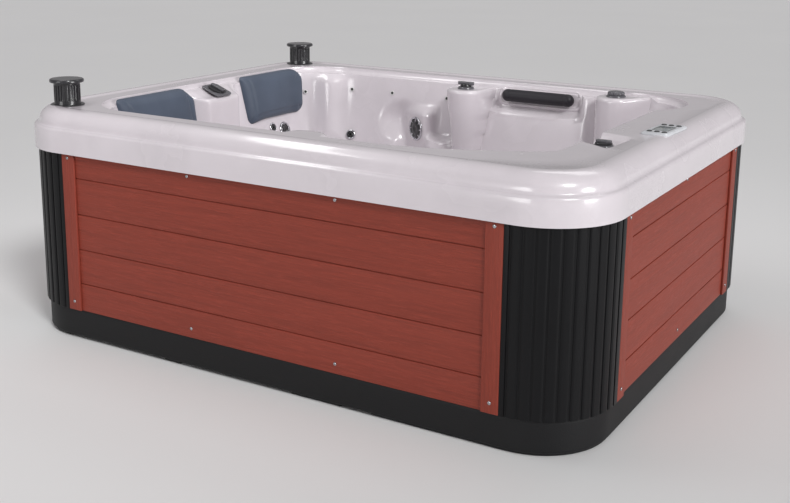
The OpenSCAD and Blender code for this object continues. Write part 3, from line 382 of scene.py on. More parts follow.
class Form:
    """Collects the faces of one finished piece, in millimetres."""

    def __init__(self):
        self.points = []
        self.faces = []
        self.marks = []
        self.finishes = []
        self.inner_look = None

    def skin(self, points, faces, look, place=None):
        """Adds points and the faces over them, all with one finish."""
        if look not in self.finishes:
            self.finishes.append(look)
        mark = self.finishes.index(look)
        start = len(self.points)
        for p in points:
            v = Vector(p)
            self.points.append(place @ v if place is not None else v)
        for f in faces:
            self.faces.append([start + k for k in f])
            self.marks.append(mark)

    def loft(self, rings, look, place=None, close=True, cap0=True, cap1=True):
        """Joins rings of equal length, each a list of points, into one skin."""
        n = len(rings[0])
        points = [p for ring in rings for p in ring]
        faces = []
        for a in range(len(rings) - 1):
            for k in range(n if close else n - 1):
                j = (k + 1) % n
                faces.append((a * n + k, a * n + j, (a + 1) * n + j, (a + 1) * n + k))
        if cap0:
            faces.append(tuple(range(n - 1, -1, -1)))
        if cap1:
            faces.append(tuple((len(rings) - 1) * n + k for k in range(n)))
        self.skin(points, faces, look, place)

    def turned(self, outline, look, place=None, n=64, open_top=False, closed=False):
        """A turned piece: outline is a run of (radius, height) from its foot to its top."""
        points, rows, faces = [], [], []
        for r, z in outline:
            start = len(points)
            if r < 1e-6:
                points.append((0.0, 0.0, z))
            else:
                turns = [2 * math.pi * k / n for k in range(n)]
                points += [(r * math.cos(a), r * math.sin(a), z) for a in turns]
            rows.append(list(range(start, len(points))))
        for a, b in zip(rows, rows[1:] + ([rows[0]] if closed else [])):
            for k in range(n):
                j = (k + 1) % n
                quad = (a[k % len(a)], a[j % len(a)], b[j % len(b)], b[k % len(b)])
                face = list(dict.fromkeys(quad))
                if len(face) > 2:
                    faces.append(face)
        if not closed:
            if len(rows[0]) > 1 and open_top != "both":
                faces.append(rows[0][::-1])
            if len(rows[-1]) > 1 and not open_top:
                faces.append(rows[-1])
        self.skin(points, faces, look, place)

    def ring(self, outline, look, place=None, n=64):
        """A turned ring: outline goes once round its section."""
        self.turned(outline, look, place, n, closed=True)

    def dish(self, outline, look, place=None, n=64):
        """The turned skin that closes an open-topped piece, from its rim to its middle."""
        self.turned(outline, look, place, n, open_top="both")

    def rod(self, radius, low, high, look, place=None, n=48):
        self.turned(((radius, low), (radius, high)), look, place, n)

    def plate(self, half_x, half_y, corner, low, high, edge, look, place=None, n=10, soft=4):
        """A flat plate with round corners and rounded edges."""
        rings = []
        quarter = np.linspace(0, math.pi / 2, soft)
        steps = [(edge * (1 - math.sin(a)), low + edge * (1 - math.cos(a))) for a in quarter]
        steps += [(edge * (1 - math.cos(a)), high - edge * (1 - math.sin(a))) for a in quarter]
        for inset, z in steps:
            r = max(corner - inset, 0.05)
            rings.append([(x, y, z) for x, y in round_rect(half_x - inset, half_y - inset, r, n)])
        self.loft(rings, look, place)

    def block(self, low, high, look, place=None, edge=0.0):
        """A box between two corners, with rounded edges where edge is given."""
        mid = Matrix.Translation(((low[0] + high[0]) / 2, (low[1] + high[1]) / 2, 0))
        if place is not None:
            mid = place @ mid
        x, y = (high[0] - low[0]) / 2, (high[1] - low[1]) / 2
        if edge > 0:
            self.plate(x, y, edge, low[2], high[2], edge, look, mid, n=4)
            return
        corners = ((-x, -y), (x, -y), (x, y), (-x, y))
        self.loft([[(a, b, z) for a, b in corners] for z in (low[2], high[2])], look, mid)

    def frame(self, outer, inner, low, high, look, place=None):
        """A flat frame between two rectangles, each given by its half sizes."""
        rings = []
        for half, out, r, z in (
            (outer, 0.0, 3.0, low),
            (outer, 0.0, 3.0, high - 0.4),
            (outer, -0.3, 2.7, high),
            (inner, 0.2, 1.2, high),
            (inner, 0.0, 1.0, high - 0.3),
            (inner, 0.0, 1.0, low),
        ):
            rings.append([(px, py, z) for px, py in round_rect(half[0] + out, half[1] + out, r, 6)])
        self.loft(rings + [rings[0]], look, place, cap0=False, cap1=False)

    def grip(self, long, wide, low, high, edge, look, place=None):
        """A straight finger grip with round ends and a soft top."""
        self.plate(long / 2, wide / 2, wide / 2 - 0.1, low, high, edge, look, place, n=14, soft=6)

    def build(self, name):
        """The collected faces as a plain mesh object, merged and facing outwards."""
        mesh = bpy.data.meshes.new(name)
        mesh.from_pydata([(p[0] * MM, p[1] * MM, p[2] * MM) for p in self.points], [], self.faces)
        for look in self.finishes:
            mesh.materials.append(finish(look))
        mesh.polygons.foreach_set("material_index", self.marks)
        if self.inner_look:
            mark = mesh.attributes.new("inner", "BOOLEAN", "FACE")
            inner = self.finishes.index(self.inner_look)
            mark.data.foreach_set("value", [m == inner for m in self.marks])
        bm = bmesh.new()
        bm.from_mesh(mesh)
        bmesh.ops.remove_doubles(bm, verts=bm.verts, dist=1e-7)
        bmesh.ops.dissolve_degenerate(bm, edges=bm.edges, dist=1e-8)
        bmesh.ops.recalc_face_normals(bm, faces=bm.faces)
        bm.to_mesh(mesh)
        bm.free()
        piece = bpy.data.objects.new(name, mesh)
        bpy.context.scene.collection.objects.link(piece)
        return piece


def round_rect(half_x, half_y, r, n=10):
    """Points round a rectangle with round corners, anticlockwise, n steps to a corner."""
    out = []
    for turn, (sx, sy) in enumerate(((1, 1), (-1, 1), (-1, -1), (1, -1))):
        cx, cy = sx * (half_x - r), sy * (half_y - r)
        for k in range(n + 1):
            a = math.radians(90 * turn + 90 * k / n)
            out.append((cx + r * math.cos(a), cy + r * math.sin(a)))
    return out


def facing(spot, normal, up=(0, 0, 1)):
    """A place whose Z looks along normal, with its Y as near to up as it can be."""
    z = Vector(normal).normalized()
    x = Vector(up).cross(z)
    if x.length < 1e-4:
        x = Vector((1, 0, 0))
    x.normalize()
    y = z.cross(x)
    return Matrix((
        (x.x, y.x, z.x, spot[0]),
        (x.y, y.y, z.y, spot[1]),
        (x.z, y.z, z.z, spot[2]),
        (0, 0, 0, 1),
    ))


def joint(child):
    """Where a moving piece turns or slides, in millimetres, and its axis."""
    for j in frame["joints"]:
        if j["child"] == child:
            return Vector(j.get("pos_m", (0, 0, 0))) * 1000, Vector(j["axis"])
    raise ValueError("no joint moves " + child)


def solids(node):
    """The separate solids of a CAD node, each as an array of its points in millimetres."""
    mesh = frame["nodes"][node].data
    co = np.empty(len(mesh.vertices) * 3, np.float64)
    mesh.vertices.foreach_get("co", co)
    co = np.round(co.reshape(-1, 3) * 1000, 3)
    keys, ids = np.unique(co, axis=0, return_inverse=True)
    ids = ids.ravel()
    root = list(range(len(keys)))

    def find(a):
        while root[a] != a:
            root[a] = root[root[a]]
            a = root[a]
        return a

    for edge in mesh.edges:
        a, b = find(ids[edge.vertices[0]]), find(ids[edge.vertices[1]])
        if a != b:
            root[a] = b
    groups = {}
    for k in range(len(keys)):
        groups.setdefault(find(k), []).append(keys[k])
    return [np.array(g) for g in groups.values()]


def turned_places(node):
    """Where each turned solid of a CAD node sits, and its axis.

    The place is the middle of the outer side of its widest face.
    """
    out = []
    for pts in solids(node):
        mid = pts.mean(0)
        best = None
        _, vec = np.linalg.eigh(np.cov((pts - mid).T))
        for k in range(3):
            a = vec[:, k]
            h = (pts - mid) @ a
            rad = (pts - mid) - np.outer(h, a)
            for s in (1, -1):
                top = rad[(s * h) > (s * h).max() - 0.6]
                low = rad[(s * h) < (s * h).min() + 0.6]
                if len(top) < 6 or len(low) < 6:
                    continue
                rt = np.linalg.norm(top - top.mean(0), axis=1)
                rl = np.linalg.norm(low - low.mean(0), axis=1)
                score = rt.max() - rl.max() - 8 * abs(top.mean(0)).max()
                if best is None or score > best[0]:
                    best = (score, mid + a * s * (s * h).max() + top.mean(0), a * s)
        out.append((Vector(best[1]), Vector(best[2])))
    return out


def dressed(node, name, look, body="tub", edge=0.0, sharp=30.0):
    """A finished copy of a CAD node: doubles merged, edges softened and its finish put on."""
    source = frame["nodes"][node]
    mesh = source.data.copy()
    mesh.name = name
    mesh.materials.clear()
    mesh.materials.append(finish(look))
    bm = bmesh.new()
    bm.from_mesh(mesh)
    bmesh.ops.remove_doubles(bm, verts=bm.verts, dist=2e-6)
    bmesh.ops.dissolve_limit(bm, angle_limit=math.radians(0.5), verts=bm.verts, edges=bm.edges)
    bm.to_mesh(mesh)
    bm.free()
    piece = bpy.data.objects.new(name, mesh)
    bpy.context.scene.collection.objects.link(piece)
    if edge > 0:
        mod = piece.modifiers.new("Soft edges", "BEVEL")
        mod.width = edge * MM
        mod.segments = 2
        mod.limit_method = "ANGLE"
        mod.angle_limit = math.radians(40)
        mod.harden_normals = False
        plain(piece)
    piece.data.polygons.foreach_set("material_index", [0] * len(piece.data.polygons))
    return settle(piece, body, node, sharp=sharp)


def plain(piece):
    """Applies a piece's modifiers to its mesh."""
    bpy.context.view_layer.update()
    deps = bpy.context.evaluated_depsgraph_get()
    mesh = bpy.data.meshes.new_from_object(piece.evaluated_get(deps))
    piece.modifiers.clear()
    piece.data = mesh
    return piece


# ---------------------------------------------------------------- tub shell


def lerp(a, b, t):
    """From a at 0 to b at 1."""
    return a + (b - a) * t


def clamp(x, low, high):
    """x, held between low and high."""
    return max(low, min(high, x))


def ease(a, b, x):
    """0 below a and 1 above b, with a smooth step between them."""
    t = clamp((x - a) / (b - a), 0.0, 1.0)
    return t * t * (3 - 2 * t)


def bell(x):
    """A smooth hump, 1 high at 0."""
    return math.exp(-x * x)


def smin(a, b, k):
    """The smaller of two lengths, rounded over k where they meet."""
    h = max(k - abs(a - b), 0.0) / k
    return min(a, b) - h * h * k / 4


def smax(a, b, k):
    """The larger of two lengths, rounded over k where they meet."""
    return -smin(-a, -b, k)


def dip_arc(r, d):
    """How far a circle of radius r has dropped at d beside its crest."""
    return r - math.sqrt(max(0.0, r * r - d * d))


def along(u, c):
    """How far along a ray a spot lies. A ray is (its start on X, its direction's x, its y)."""
    return u[1] * (c[0] - u[0]) + u[2] * c[1]


def aside(u, c):
    """How far beside a ray a spot lies, signed."""
    return u[1] * c[1] - u[2] * (c[0] - u[0])


def near(u, c, w, e):
    """1 where a ray passes a spot within w, fading to 0 over e on each side."""
    return 1 - ease(w - e, w + e, abs(aside(u, c))) if along(u, c) > 0 else 0.0


def rect_hit(u, xm, xp, ym, yp, r):
    """Where a ray leaves a rectangle with round corners."""
    a = xp - u[0] if u[1] >= 0 else xm + u[0]
    b = yp if u[2] >= 0 else ym
    c, s = abs(u[1]), abs(u[2])
    if c * b <= s * (a - r):
        return b / s
    if s * a <= c * (b - r):
        return a / c
    d = c * (a - r) + s * (b - r)
    return d + math.sqrt(max(0.0, r * r - ((a - r) ** 2 + (b - r) ** 2 - d * d)))


def circ_hit(u, c, r, side):
    """Where a ray enters (side -1) or leaves (side 1) a circle."""
    off, d = aside(u, c), along(u, c)
    if d <= 0 or abs(off) >= r:
        return -side * 1e6
    return d + side * math.sqrt(r * r - off * off)


def line_hit(u, n, d):
    """Where a ray meets the line whose normal is n, at distance d."""
    q = u[1] * n[0] + u[2] * n[1]
    return (d - n[0] * u[0]) / q if q > 1e-6 else 1e6


class Mould:
    """The moulded shell's surface, swept by rays that start on a spine along X.

    Its values are those of the CAD's shell, in millimetres: hx and hy are half the length and the
    width, top is the rim's crest, and plat the flat ledge inside it.
    """

    # The skirt and the rim: (inset from the outside, height from the crest), from the foot up
    RIM = (
        (0, -140), (0, -103), (0, -66), (1.5, -61.5), (5, -58.5), (10, -57), (14, -55.5),
        (16.5, -52), (17.5, -47), (18.5, -40), (21.5, -31), (27, -22), (35, -14), (45, -7),
        (56, -2.5), (68, -0.5), (80, 0), (88, -1), (94, -3),
    )
    RIM_CORNER = 229
    WALL = 8.0
    # Radii of the bends: upright wall to seat, seat to footwell, and footwell to its floor
    SEAT_IN, SEAT_DOWN = 70, 75
    KNEE = 35
    FLOOR_IN, FLOOR_DOWN = 44, 46
    FLOOR_Z = 66
    # How far the footwell's wall leans in, and the seats' sag
    WELL_DRAFT = 28
    SEAT_SAG = 7

    def __init__(self, sizes):
        self.hx = sizes.length * 500
        self.hy = sizes.width * 500
        self.top = sizes.rim_height * 1000
        self.plat = self.top - 4
        self.lip = 25.0
        hx, hy, top = self.hx, self.hy, self.top
        # The bathing opening: left, right, front and back reach, and its corners' radius
        self.opening = (hx - 170, hx - 247, hy - 155, hy - 148, 230.0)
        # The slanting cut over its near right corner: normal and distance
        self.cut_n = (0.414, -0.910)
        self.cut_d = 0.414 * (hx - 247) + 0.910 * (hy - 155) - 157
        # The round bay in its far right corner
        self.bay = ((hx - 382, hy - 345), 200.0)
        # Each pier: middle, radius at its top and low down, and its height
        self.piers = (
            ((-24.0, hy - 278), 78.0, 44.0, top - 26),
            ((588.0, hy - 222), 76.0, 76.0, top - 12),
            ((25.0, 210 - hy), 80.0, 50.0, top - 17),
        )
        # The arm between the pillows: end, half width, reach, height and the step behind it
        self.arm = (225 - hx, 0.0)
        self.arm_w = 118.0
        self.arm_front = hx - 275
        self.arm_z = top - 22
        self.arm_drop = 31.0
        # The ridge in the far left corner, the air control's hollow and the bolster's middle
        self.fold = (340 - hx, hy - 210)
        self.knob = (hx - 207, -250.0)
        self.bolster_x = 257.0
        # Beside the foot jet: the round dish, the low step and the flat facet under the jet
        self.dish = (-362.0, top - 205)
        self.step = (-165.0, hy - 210)
        self.pad = (-287.0, hy - 222)
        self.pad_n = (0.48, 0.877)
        self.pad_z = top - 226
        # Seat heights at spots round the tub, and the raised parts between the seats
        self.seats = (
            ((-700, -380), 372), ((-700, 420), 372), ((-400, 600), 440), ((240, 600), 345),
            ((700, 500), 400), ((800, -100), 430), ((420, -560), 350), ((-330, -600), 360),
        )
        self.rises = (
            ((-850, 0), 70), ((-735, 640), 60), ((-24, 572), 75),
            ((588, 628), 60), ((25, -640), 75), ((760, -500), 40),
        )
        self.well = (480, 440, 330, 300, 130)

    def ray(self, th):
        """The ray at one angle round the tub; its start runs along the spine."""
        return (330 * clamp(2.2 * math.cos(th), -1, 1), math.cos(th), math.sin(th))

    def wall(self, u, i):
        """How far out the opening's wall lies, moved in by i."""
        left, right, front, back, r = self.opening
        a = rect_hit(u, left - i, right - i, front - i, back - i, max(r - i, 90))
        a = smax(a, circ_hit(u, self.bay[0], self.bay[1] - i, 1), 60)
        return smin(a, line_hit(u, self.cut_n, self.cut_d - i), 70)

    def with_piers(self, u, a, z):
        """The wall with the piers standing in front of it."""
        for c, r0, r1, top in self.piers:
            if z <= top:
                d = top - z
                r = lerp(r0, r1, min(1, d / (top - 430)))
                if d < 14:
                    r -= dip_arc(14, 14 - d)
                a = smin(a, circ_hit(u, c, r, -1), 16)
        return a

    def with_arm(self, u, a, z, zt):
        """The wall with the arm reaching into the tub, its edge rounded below zt."""
        w = near(u, self.arm, self.arm_w, 26)
        f = (self.arm_front + u[0]) / -u[1] if u[1] < -0.2 else 1e6
        d = zt - z
        if d < 18:
            f += dip_arc(18, 18 - d)
        return lerp(a, min(a, f), w)

    def with_pad(self, u, a, z):
        """The wall with the flat facet that the foot jet sits in."""
        w = near(u, self.pad, 74, 30) * (1 - ease(60, 104, abs(z - self.pad_z)))
        if w <= 0:
            return a
        reach = self.pad_n[0] * self.pad[0] + self.pad_n[1] * self.pad[1]
        return lerp(a, line_hit(u, self.pad_n, reach), w)

    def knob_drop(self, u):
        """Depth of the hollow round the air control."""
        return 22 * near(u, self.knob, 68, 16)

    def shelf_z(self, u):
        """Height of the cove's inner edge, raised or lowered by piers, arm and hollow."""
        z = self.plat - self.lip
        for c, r0, _, top in self.piers:
            z = lerp(z, top, near(u, c, r0 + 14, 16))
        return lerp(z, self.arm_z, near(u, self.arm, self.arm_w + 18, 26)) - self.knob_drop(u)

    def shelf_drop(self, u):
        """Depth of the step behind the arm."""
        return self.arm_drop * near(u, self.arm, self.arm_w + 10, 20)

    def lean(self, z):
        """How far the wall has come in at a height."""
        t = (self.plat - self.lip - z) / 288
        return self.lip + (0 if t < 0 else 70 * t * (0.55 + 0.45 * t))

    def face(self, u, z, zt):
        """The upright wall at a height, with every form that is moulded into it."""
        a = self.wall(u, self.lean(z))
        x = u[0] + u[1] * a
        d = self.plat - z
        if along(u, self.fold) > 0:
            a -= 44 * bell(aside(u, self.fold) / 62) * ease(0, 60, d)
        if u[2] > 0.3:
            xb = x - self.bolster_x
            bay = ease(-286, -236, xb) * (1 - ease(212, 262, xb))
            win = (1 - ease(180, 216, abs(xb + 12))) * ease(self.top - 115, self.top - 99, z)
            a -= 26 * bay * (1 - win) * ease(0, 34, d)
            q = ((x - self.dish[0]) / 120) ** 2 + ((z - self.dish[1]) / 100) ** 2
            if q < 1:
                a += 44 * (1 - q) ** 2
            a -= 58 * near(u, self.step, 105, 26) * (1 - ease(self.top - 264, self.top - 238, z))
        a = self.with_piers(u, self.with_pad(u, a, z), z)
        return self.with_arm(u, a, z, zt)

    def seat_z(self, u):
        """Height of the seat under a ray, blended from the spots around it."""
        s, w = 0.0, 1e-9
        for c, z in self.seats:
            k = bell(aside(u, c) / 260.0) if along(u, c) > 0 else 0.0
            s += k * z
            w += k
        return s / w + sum(h * near(u, c, 50, 42) for c, h in self.rises)

    def lip_at(self, u, d):
        """The opening's rounded lip at a depth d below the ledge."""
        return self.wall(u, self.lip - math.sqrt(max(0.0, self.lip**2 - d * d)))

    def section(self, u):
        """(distance along the ray, height) from the skirt's foot to the footwell's floor."""
        hx, hy = self.hx, self.hy
        out = [
            (rect_hit(u, hx - i, hx - i, hy - i, hy - i, self.RIM_CORNER - i), self.top + z)
            for i, z in self.RIM
        ]
        edge = self.wall(u, 0)
        land = out[-1][0] - edge
        pz = self.plat - self.knob_drop(u)
        for reach, part, drop in (
            (122, 0.86, 0), (115, 0.8, 0.12), (104, 0.66, 0.88), (96, 0.58, 1), (40, 0.3, 1),
        ):
            out.append((edge + min(reach, part * land), lerp(self.plat, pz, drop)))
        zs = self.shelf_z(u)
        zf = zs - self.shelf_drop(u)
        for k in range(7):
            z = lerp(pz, zs, k / 6)
            out.append((self.lip_at(u, min(self.lip, pz - z)), z))
        aw = out[-1][0]
        af = self.face(u, zf - 0.01, zf)
        for t in (0.04, 0.2, 0.4, 0.6, 0.8, 0.96):
            out.append((lerp(aw, af, t), lerp(zs, zf, ease(0, 1, t))))
        sz = self.seat_z(u)
        zb = sz + self.SEAT_DOWN
        heights = [zf - d for d in (1, 3, 6, 10, 14, 20)]
        for z in heights + [lerp(zf - 30, zb, k / 20) for k in range(21)]:
            out.append((self.face(u, z, zf), z))
        ab = out[-1][0]
        ae = min(rect_hit(u, *self.well), ab - 120)
        for k in range(1, 8):
            t = k / 7 * math.pi / 2
            out.append((ab - self.SEAT_IN * (1 - math.cos(t)), zb - self.SEAT_DOWN * math.sin(t)))
        for t in (0.15, 0.35, 0.55, 0.75, 0.9):
            a = lerp(ab - self.SEAT_IN, ae + self.KNEE, t)
            out.append((a, sz - self.SEAT_SAG * math.sin(math.pi * t)))
        for k in range(6):
            t = k / 5 * math.pi / 2
            out.append((ae + self.KNEE * (1 - math.sin(t)), sz - self.KNEE * (1 - math.cos(t))))
        foot = self.FLOOR_Z + self.FLOOR_DOWN
        for k in range(1, 7):
            out.append((ae - self.WELL_DRAFT * k / 6, lerp(sz - self.KNEE, foot, k / 6)))
        for k in range(1, 6):
            t = k / 5 * math.pi / 2
            a = ae - self.WELL_DRAFT - self.FLOOR_IN * (1 - math.cos(t))
            out.append((a, foot - self.FLOOR_DOWN * math.sin(t)))
        return out

    def columns(self, count):
        """Even steps round the rim, closer together where piers, arm and facet stand."""
        hx, hy = self.hx - 80, self.hy - 80
        busy = [(p[0], 96) for p in self.piers]
        busy += [(self.arm, 150), (self.pad, 70), (self.knob, 84)]
        fine = 4000
        pts, us = [], []
        for k in range(fine + 1):
            u = self.ray(2 * math.pi * k / fine)
            t = rect_hit(u, hx, hx, hy, hy, self.RIM_CORNER - 80)
            pts.append((u[0] + u[1] * t, u[2] * t))
            us.append(u)
        run = [0.0]
        for k in range(fine):
            extra = max(near(us[k], c, w, 14) for c, w in busy)
            run.append(run[-1] + math.dist(pts[k], pts[k + 1]) * (1 + 0.9 * extra))
        steps = np.arange(count) * run[-1] / count
        angles = np.interp(steps, run, np.linspace(0, 2 * math.pi, fine + 1))
        return [self.ray(a) for a in angles]

    def lip_point(self, th, z):
        """A point of the lip or of the wall below it."""
        u = self.ray(th)
        zs = self.shelf_z(u)
        a = self.lip_at(u, min(self.lip, self.plat - z)) if z > zs else self.face(u, z, zs)
        return Vector((u[0] + u[1] * a, u[2] * a, z))

    def wall_point(self, th, z):
        """A point of the upright wall, which goes on above the lip."""
        u = self.ray(th)
        a = self.face(u, z, self.shelf_z(u) - self.shelf_drop(u))
        return Vector((u[0] + u[1] * a, u[2] * a, z))


def shell_form(mould, count):
    """The shell as one closed skin: the front, then the back, moved by the wall's thickness."""
    rays = mould.columns(count)
    rings = [mould.section(u) for u in rays]
    k = len(rings[0])
    arr = np.array(rings)
    spine = np.array([u[0] for u in rays])[:, None]
    cx = np.array([u[1] for u in rays])[:, None]
    sy = np.array([u[2] for u in rays])[:, None]
    front = np.stack([spine + cx * arr[:, :, 0], sy * arr[:, :, 0], arr[:, :, 1]], -1)
    # The back follows these points of each section only, because fine bends turn too tight there
    rows = [*range(0, 19, 2), 19, 20, 22, 23, 26, 28, 32, *range(43, 71), 73, 76, 78, 80, 84]
    rows += range(87, k)
    ahead, behind = rows[1:] + rows[-1:], rows[:1] + rows[:-1]
    across = np.roll(front, -2, 0)[:, rows] - np.roll(front, 2, 0)[:, rows]
    away = np.cross(front[:, ahead] - front[:, behind], across)
    away /= np.linalg.norm(away, axis=2, keepdims=True)
    away[:, -1] = (0, 0, -1)
    back = (front[:, rows] + mould.WALL * away)[:, ::-1]
    both = np.concatenate([front, back], 1)
    m = both.shape[1]
    faces, marks = [], []
    for i in range(count):
        j = (i + 1) % count
        for q in range(m):
            if q == k - 1:
                continue
            p = (q + 1) % m
            faces.append((i * m + q, j * m + q, j * m + p, i * m + p))
            marks.append(0 if q < k - 1 else 1)
    faces.append([i * m + k - 1 for i in range(count)])
    faces.append([i * m + k for i in range(count - 1, -1, -1)])
    return both.reshape(-1, 3), faces, marks + [0, 1]


def sizes():
    """The sizes that a user may change."""
    return bpy.context.scene.tub_sizes


def colours():
    """The colours that a user may change."""
    return bpy.context.scene.tub_colours


def tree_node(tree, kind, settings=None, links=None, output=0):
    """Adds a geometry node, its settings first, then its sockets, and gives one of its outputs."""
    node = tree.nodes.new(kind)
    for key, value in (settings or {}).items():
        setattr(node, key, value)
    for key, value in (links or {}).items():
        if hasattr(value, "is_output"):
            tree.links.new(value, node.inputs[key])
        else:
            node.inputs[key].default_value = value
    return node.outputs[output]


def named_tree(name, wanted):
    """A geometry node tree with its inputs, each a name, a socket type and a default.

    Its last two inputs are always the member's finish and the finish of faces marked inner.
    """
    tree = bpy.data.node_groups.new(name, "GeometryNodeTree")
    tree.interface.new_socket("Geometry", in_out="OUTPUT", socket_type="NodeSocketGeometry")
    tree.interface.new_socket("Geometry", in_out="INPUT", socket_type="NodeSocketGeometry")
    finishes = [(label, "Material", None) for label in ("Finish", "Inner finish")]
    for label, kind, default in [*wanted, *finishes]:
        item = tree.interface.new_socket(label, in_out="INPUT", socket_type="NodeSocket" + kind)
        if default is not None:
            item.default_value = default
    source = tree.nodes.new("NodeGroupInput").outputs
    return tree, source


def end_tree(tree, source, geometry):
    """Ends a tree: real copies, the main finish, and the second one on the faces marked inner."""
    real = tree_node(tree, "GeometryNodeRealizeInstances", {}, {"Geometry": geometry})
    paint_all = {"Geometry": real, "Material": source["Finish"]}
    first = tree_node(tree, "GeometryNodeSetMaterial", {}, paint_all)
    inner = {"data_type": "BOOLEAN"}
    mark = tree_node(tree, "GeometryNodeInputNamedAttribute", inner, {"Name": "inner"})
    paint_inner = {"Geometry": first, "Selection": mark, "Material": source["Inner finish"]}
    second = tree_node(tree, "GeometryNodeSetMaterial", {}, paint_inner)
    tree.links.new(second, tree.nodes.new("NodeGroupOutput").inputs[0])
    return tree


def turned_row():
    """One member repeated round an upright line."""
    if "Turned row" in bpy.data.node_groups:
        return bpy.data.node_groups["Turned row"]
    wanted = (("Count", "Int", 12), ("Step angle", "Float", 0.5), ("Pivot", "Vector", None))
    tree, source = named_tree("Turned row", wanted)
    pivot = source["Pivot"]
    back = tree_node(tree, "ShaderNodeVectorMath", {"operation": "SCALE"}, {0: pivot, 3: -1.0})
    shift = {"Geometry": source["Geometry"], "Translation": back}
    centred = tree_node(tree, "GeometryNodeTransform", {}, shift)
    spots = {"Count": source["Count"], "Position": pivot}
    places = tree_node(tree, "GeometryNodePoints", {}, spots)
    steps = {0: tree_node(tree, "GeometryNodeInputIndex"), 1: source["Step angle"]}
    turn = tree_node(tree, "ShaderNodeMath", {"operation": "MULTIPLY"}, steps)
    angles = tree_node(tree, "ShaderNodeCombineXYZ", {}, {"Z": turn})
    copies = {"Points": places, "Instance": centred, "Rotation": angles}
    row = tree_node(tree, "GeometryNodeInstanceOnPoints", {}, copies)
    return end_tree(tree, source, row)


def placed_set():
    """One member on every point of a second object, its Z turned along that point's axis."""
    if "Placed set" in bpy.data.node_groups:
        return bpy.data.node_groups["Placed set"]
    tree, source = named_tree("Placed set", (("Places", "Object", None),))
    places = {"Object": source["Places"]}
    spots = tree_node(tree, "GeometryNodeObjectInfo", {}, places, "Geometry")
    vector = {"data_type": "FLOAT_VECTOR"}
    axis = tree_node(tree, "GeometryNodeInputNamedAttribute", vector, {"Name": "axis"})
    turn = tree_node(tree, "FunctionNodeAlignRotationToVector", {"axis": "Z"}, {"Vector": axis})
    copies = {"Points": spots, "Instance": source["Geometry"], "Rotation": turn}
    row = tree_node(tree, "GeometryNodeInstanceOnPoints", {}, copies)
    return end_tree(tree, source, row)


def grown(member, tree, look, inner=None, **inputs):
    """Puts a tree on a member, sets its named inputs, and turns the result into a plain mesh."""
    inputs |= {"finish": finish(look), "inner_finish": finish(inner or look)}
    mod = member.modifiers.new("Repeat", "NODES")
    mod.node_group = tree
    for item in tree.interface.items_tree:
        key = item.name.lower().replace(" ", "_")
        if item.in_out == "INPUT" and key in inputs:
            mod[item.identifier] = inputs[key]
    return plain(member)


def spots_object(places):
    """An object whose points are places and whose axis attribute says where each one looks."""
    mesh = bpy.data.meshes.new("Places")
    mesh.from_pydata([tuple(c * MM for c in p) for p, _ in places], [], [])
    axis = mesh.attributes.new("axis", "FLOAT_VECTOR", "POINT")
    for k, (_, n) in enumerate(places):
        axis.data[k].vector = n
    piece = bpy.data.objects.new("Places", mesh)
    bpy.context.scene.collection.objects.link(piece)
    return piece


def set_on(member, places, look, inner=None):
    """Copies of one member on many places, by geometry nodes."""
    spots = spots_object(places)
    grown(member, placed_set(), look, inner, places=spots)
    bpy.data.objects.remove(spots)
    return member


def turned_copies(form, count, step, pivot, look):
    """Copies of one form turned round an upright line, by geometry nodes."""
    member = form.build("row")
    spot = (pivot[0] * MM, pivot[1] * MM, 0.0)
    return grown(member, turned_row(), look, count=count, step_angle=step, pivot=spot)


def cut(piece, *forms):
    """Takes closed forms away from a closed piece."""
    for form in forms:
        tool = form.build("Cutter")
        mod = piece.modifiers.new("Cut", "BOOLEAN")
        mod.operation = "DIFFERENCE"
        mod.solver = "MANIFOLD"
        mod.object = tool
        plain(piece)
        bpy.data.objects.remove(tool)
    return piece


def joined(first, *others):
    """One mesh from several plain pieces."""
    bm = bmesh.new()
    looks = []
    for piece in (first, *others):
        start = len(bm.faces)
        bm.from_mesh(piece.data)
        bm.faces.ensure_lookup_table()
        for look in piece.data.materials:
            if look not in looks:
                looks.append(look)
        for face in bm.faces[start:]:
            face.material_index = looks.index(piece.data.materials[face.material_index])
    mesh = bpy.data.meshes.new(first.name)
    bm.to_mesh(mesh)
    bm.free()
    for look in looks:
        mesh.materials.append(look)
    for piece in others:
        bpy.data.objects.remove(piece)
    first.data = mesh
    return first


def settle(piece, body, *nodes, sharp=35.0):
    """Shades a piece, lets it ride on its body and puts it in the place of its CAD nodes."""
    mesh = piece.data
    mesh.polygons.foreach_set("use_smooth", [True] * len(mesh.polygons))
    mesh.set_sharp_from_angle(angle=math.radians(sharp))
    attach(piece, body)
    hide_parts(*nodes)
    return piece


# ---------------------------------------------------------------- settings


def metres(name, words, default):
    """A length setting."""
    return bpy.props.FloatProperty(name=name, description=words, default=default, unit="LENGTH")


def number(name, words, default, low, high):
    """A whole-number setting."""
    return bpy.props.IntProperty(name=name, description=words, default=default, min=low, max=high)


class TubSizes(bpy.types.PropertyGroup):
    length: metres("Length", "Length over the rim", 2.15)
    width: metres("Width", "Width over the rim", 1.70)
    rim_height: metres("Rim height", "Height of the rim's crest", 0.797)
    shell_columns: number("Shell columns", "Sections round the moulded shell", 560, 200, 620)
    groove_width: metres("Groove width", "Width of the grooves between the boards", 0.003)
    groove_depth: metres("Groove depth", "Depth of the grooves between the boards", 0.004)
    rib_count: number("Corner ribs", "Ribs on each corner cover", 10, 6, 14)
    slat_count: number("Speaker slats", "Slats round each speaker", 24, 12, 36)
    pillow_crown: metres("Pillow thickness", "How far a head pillow stands off the wall", 0.044)


def paint(name, words, colour):
    """A colour setting."""
    return bpy.props.FloatVectorProperty(
        name=name, description=words, default=colour, size=4, min=0.0, max=1.0, subtype="COLOR"
    )


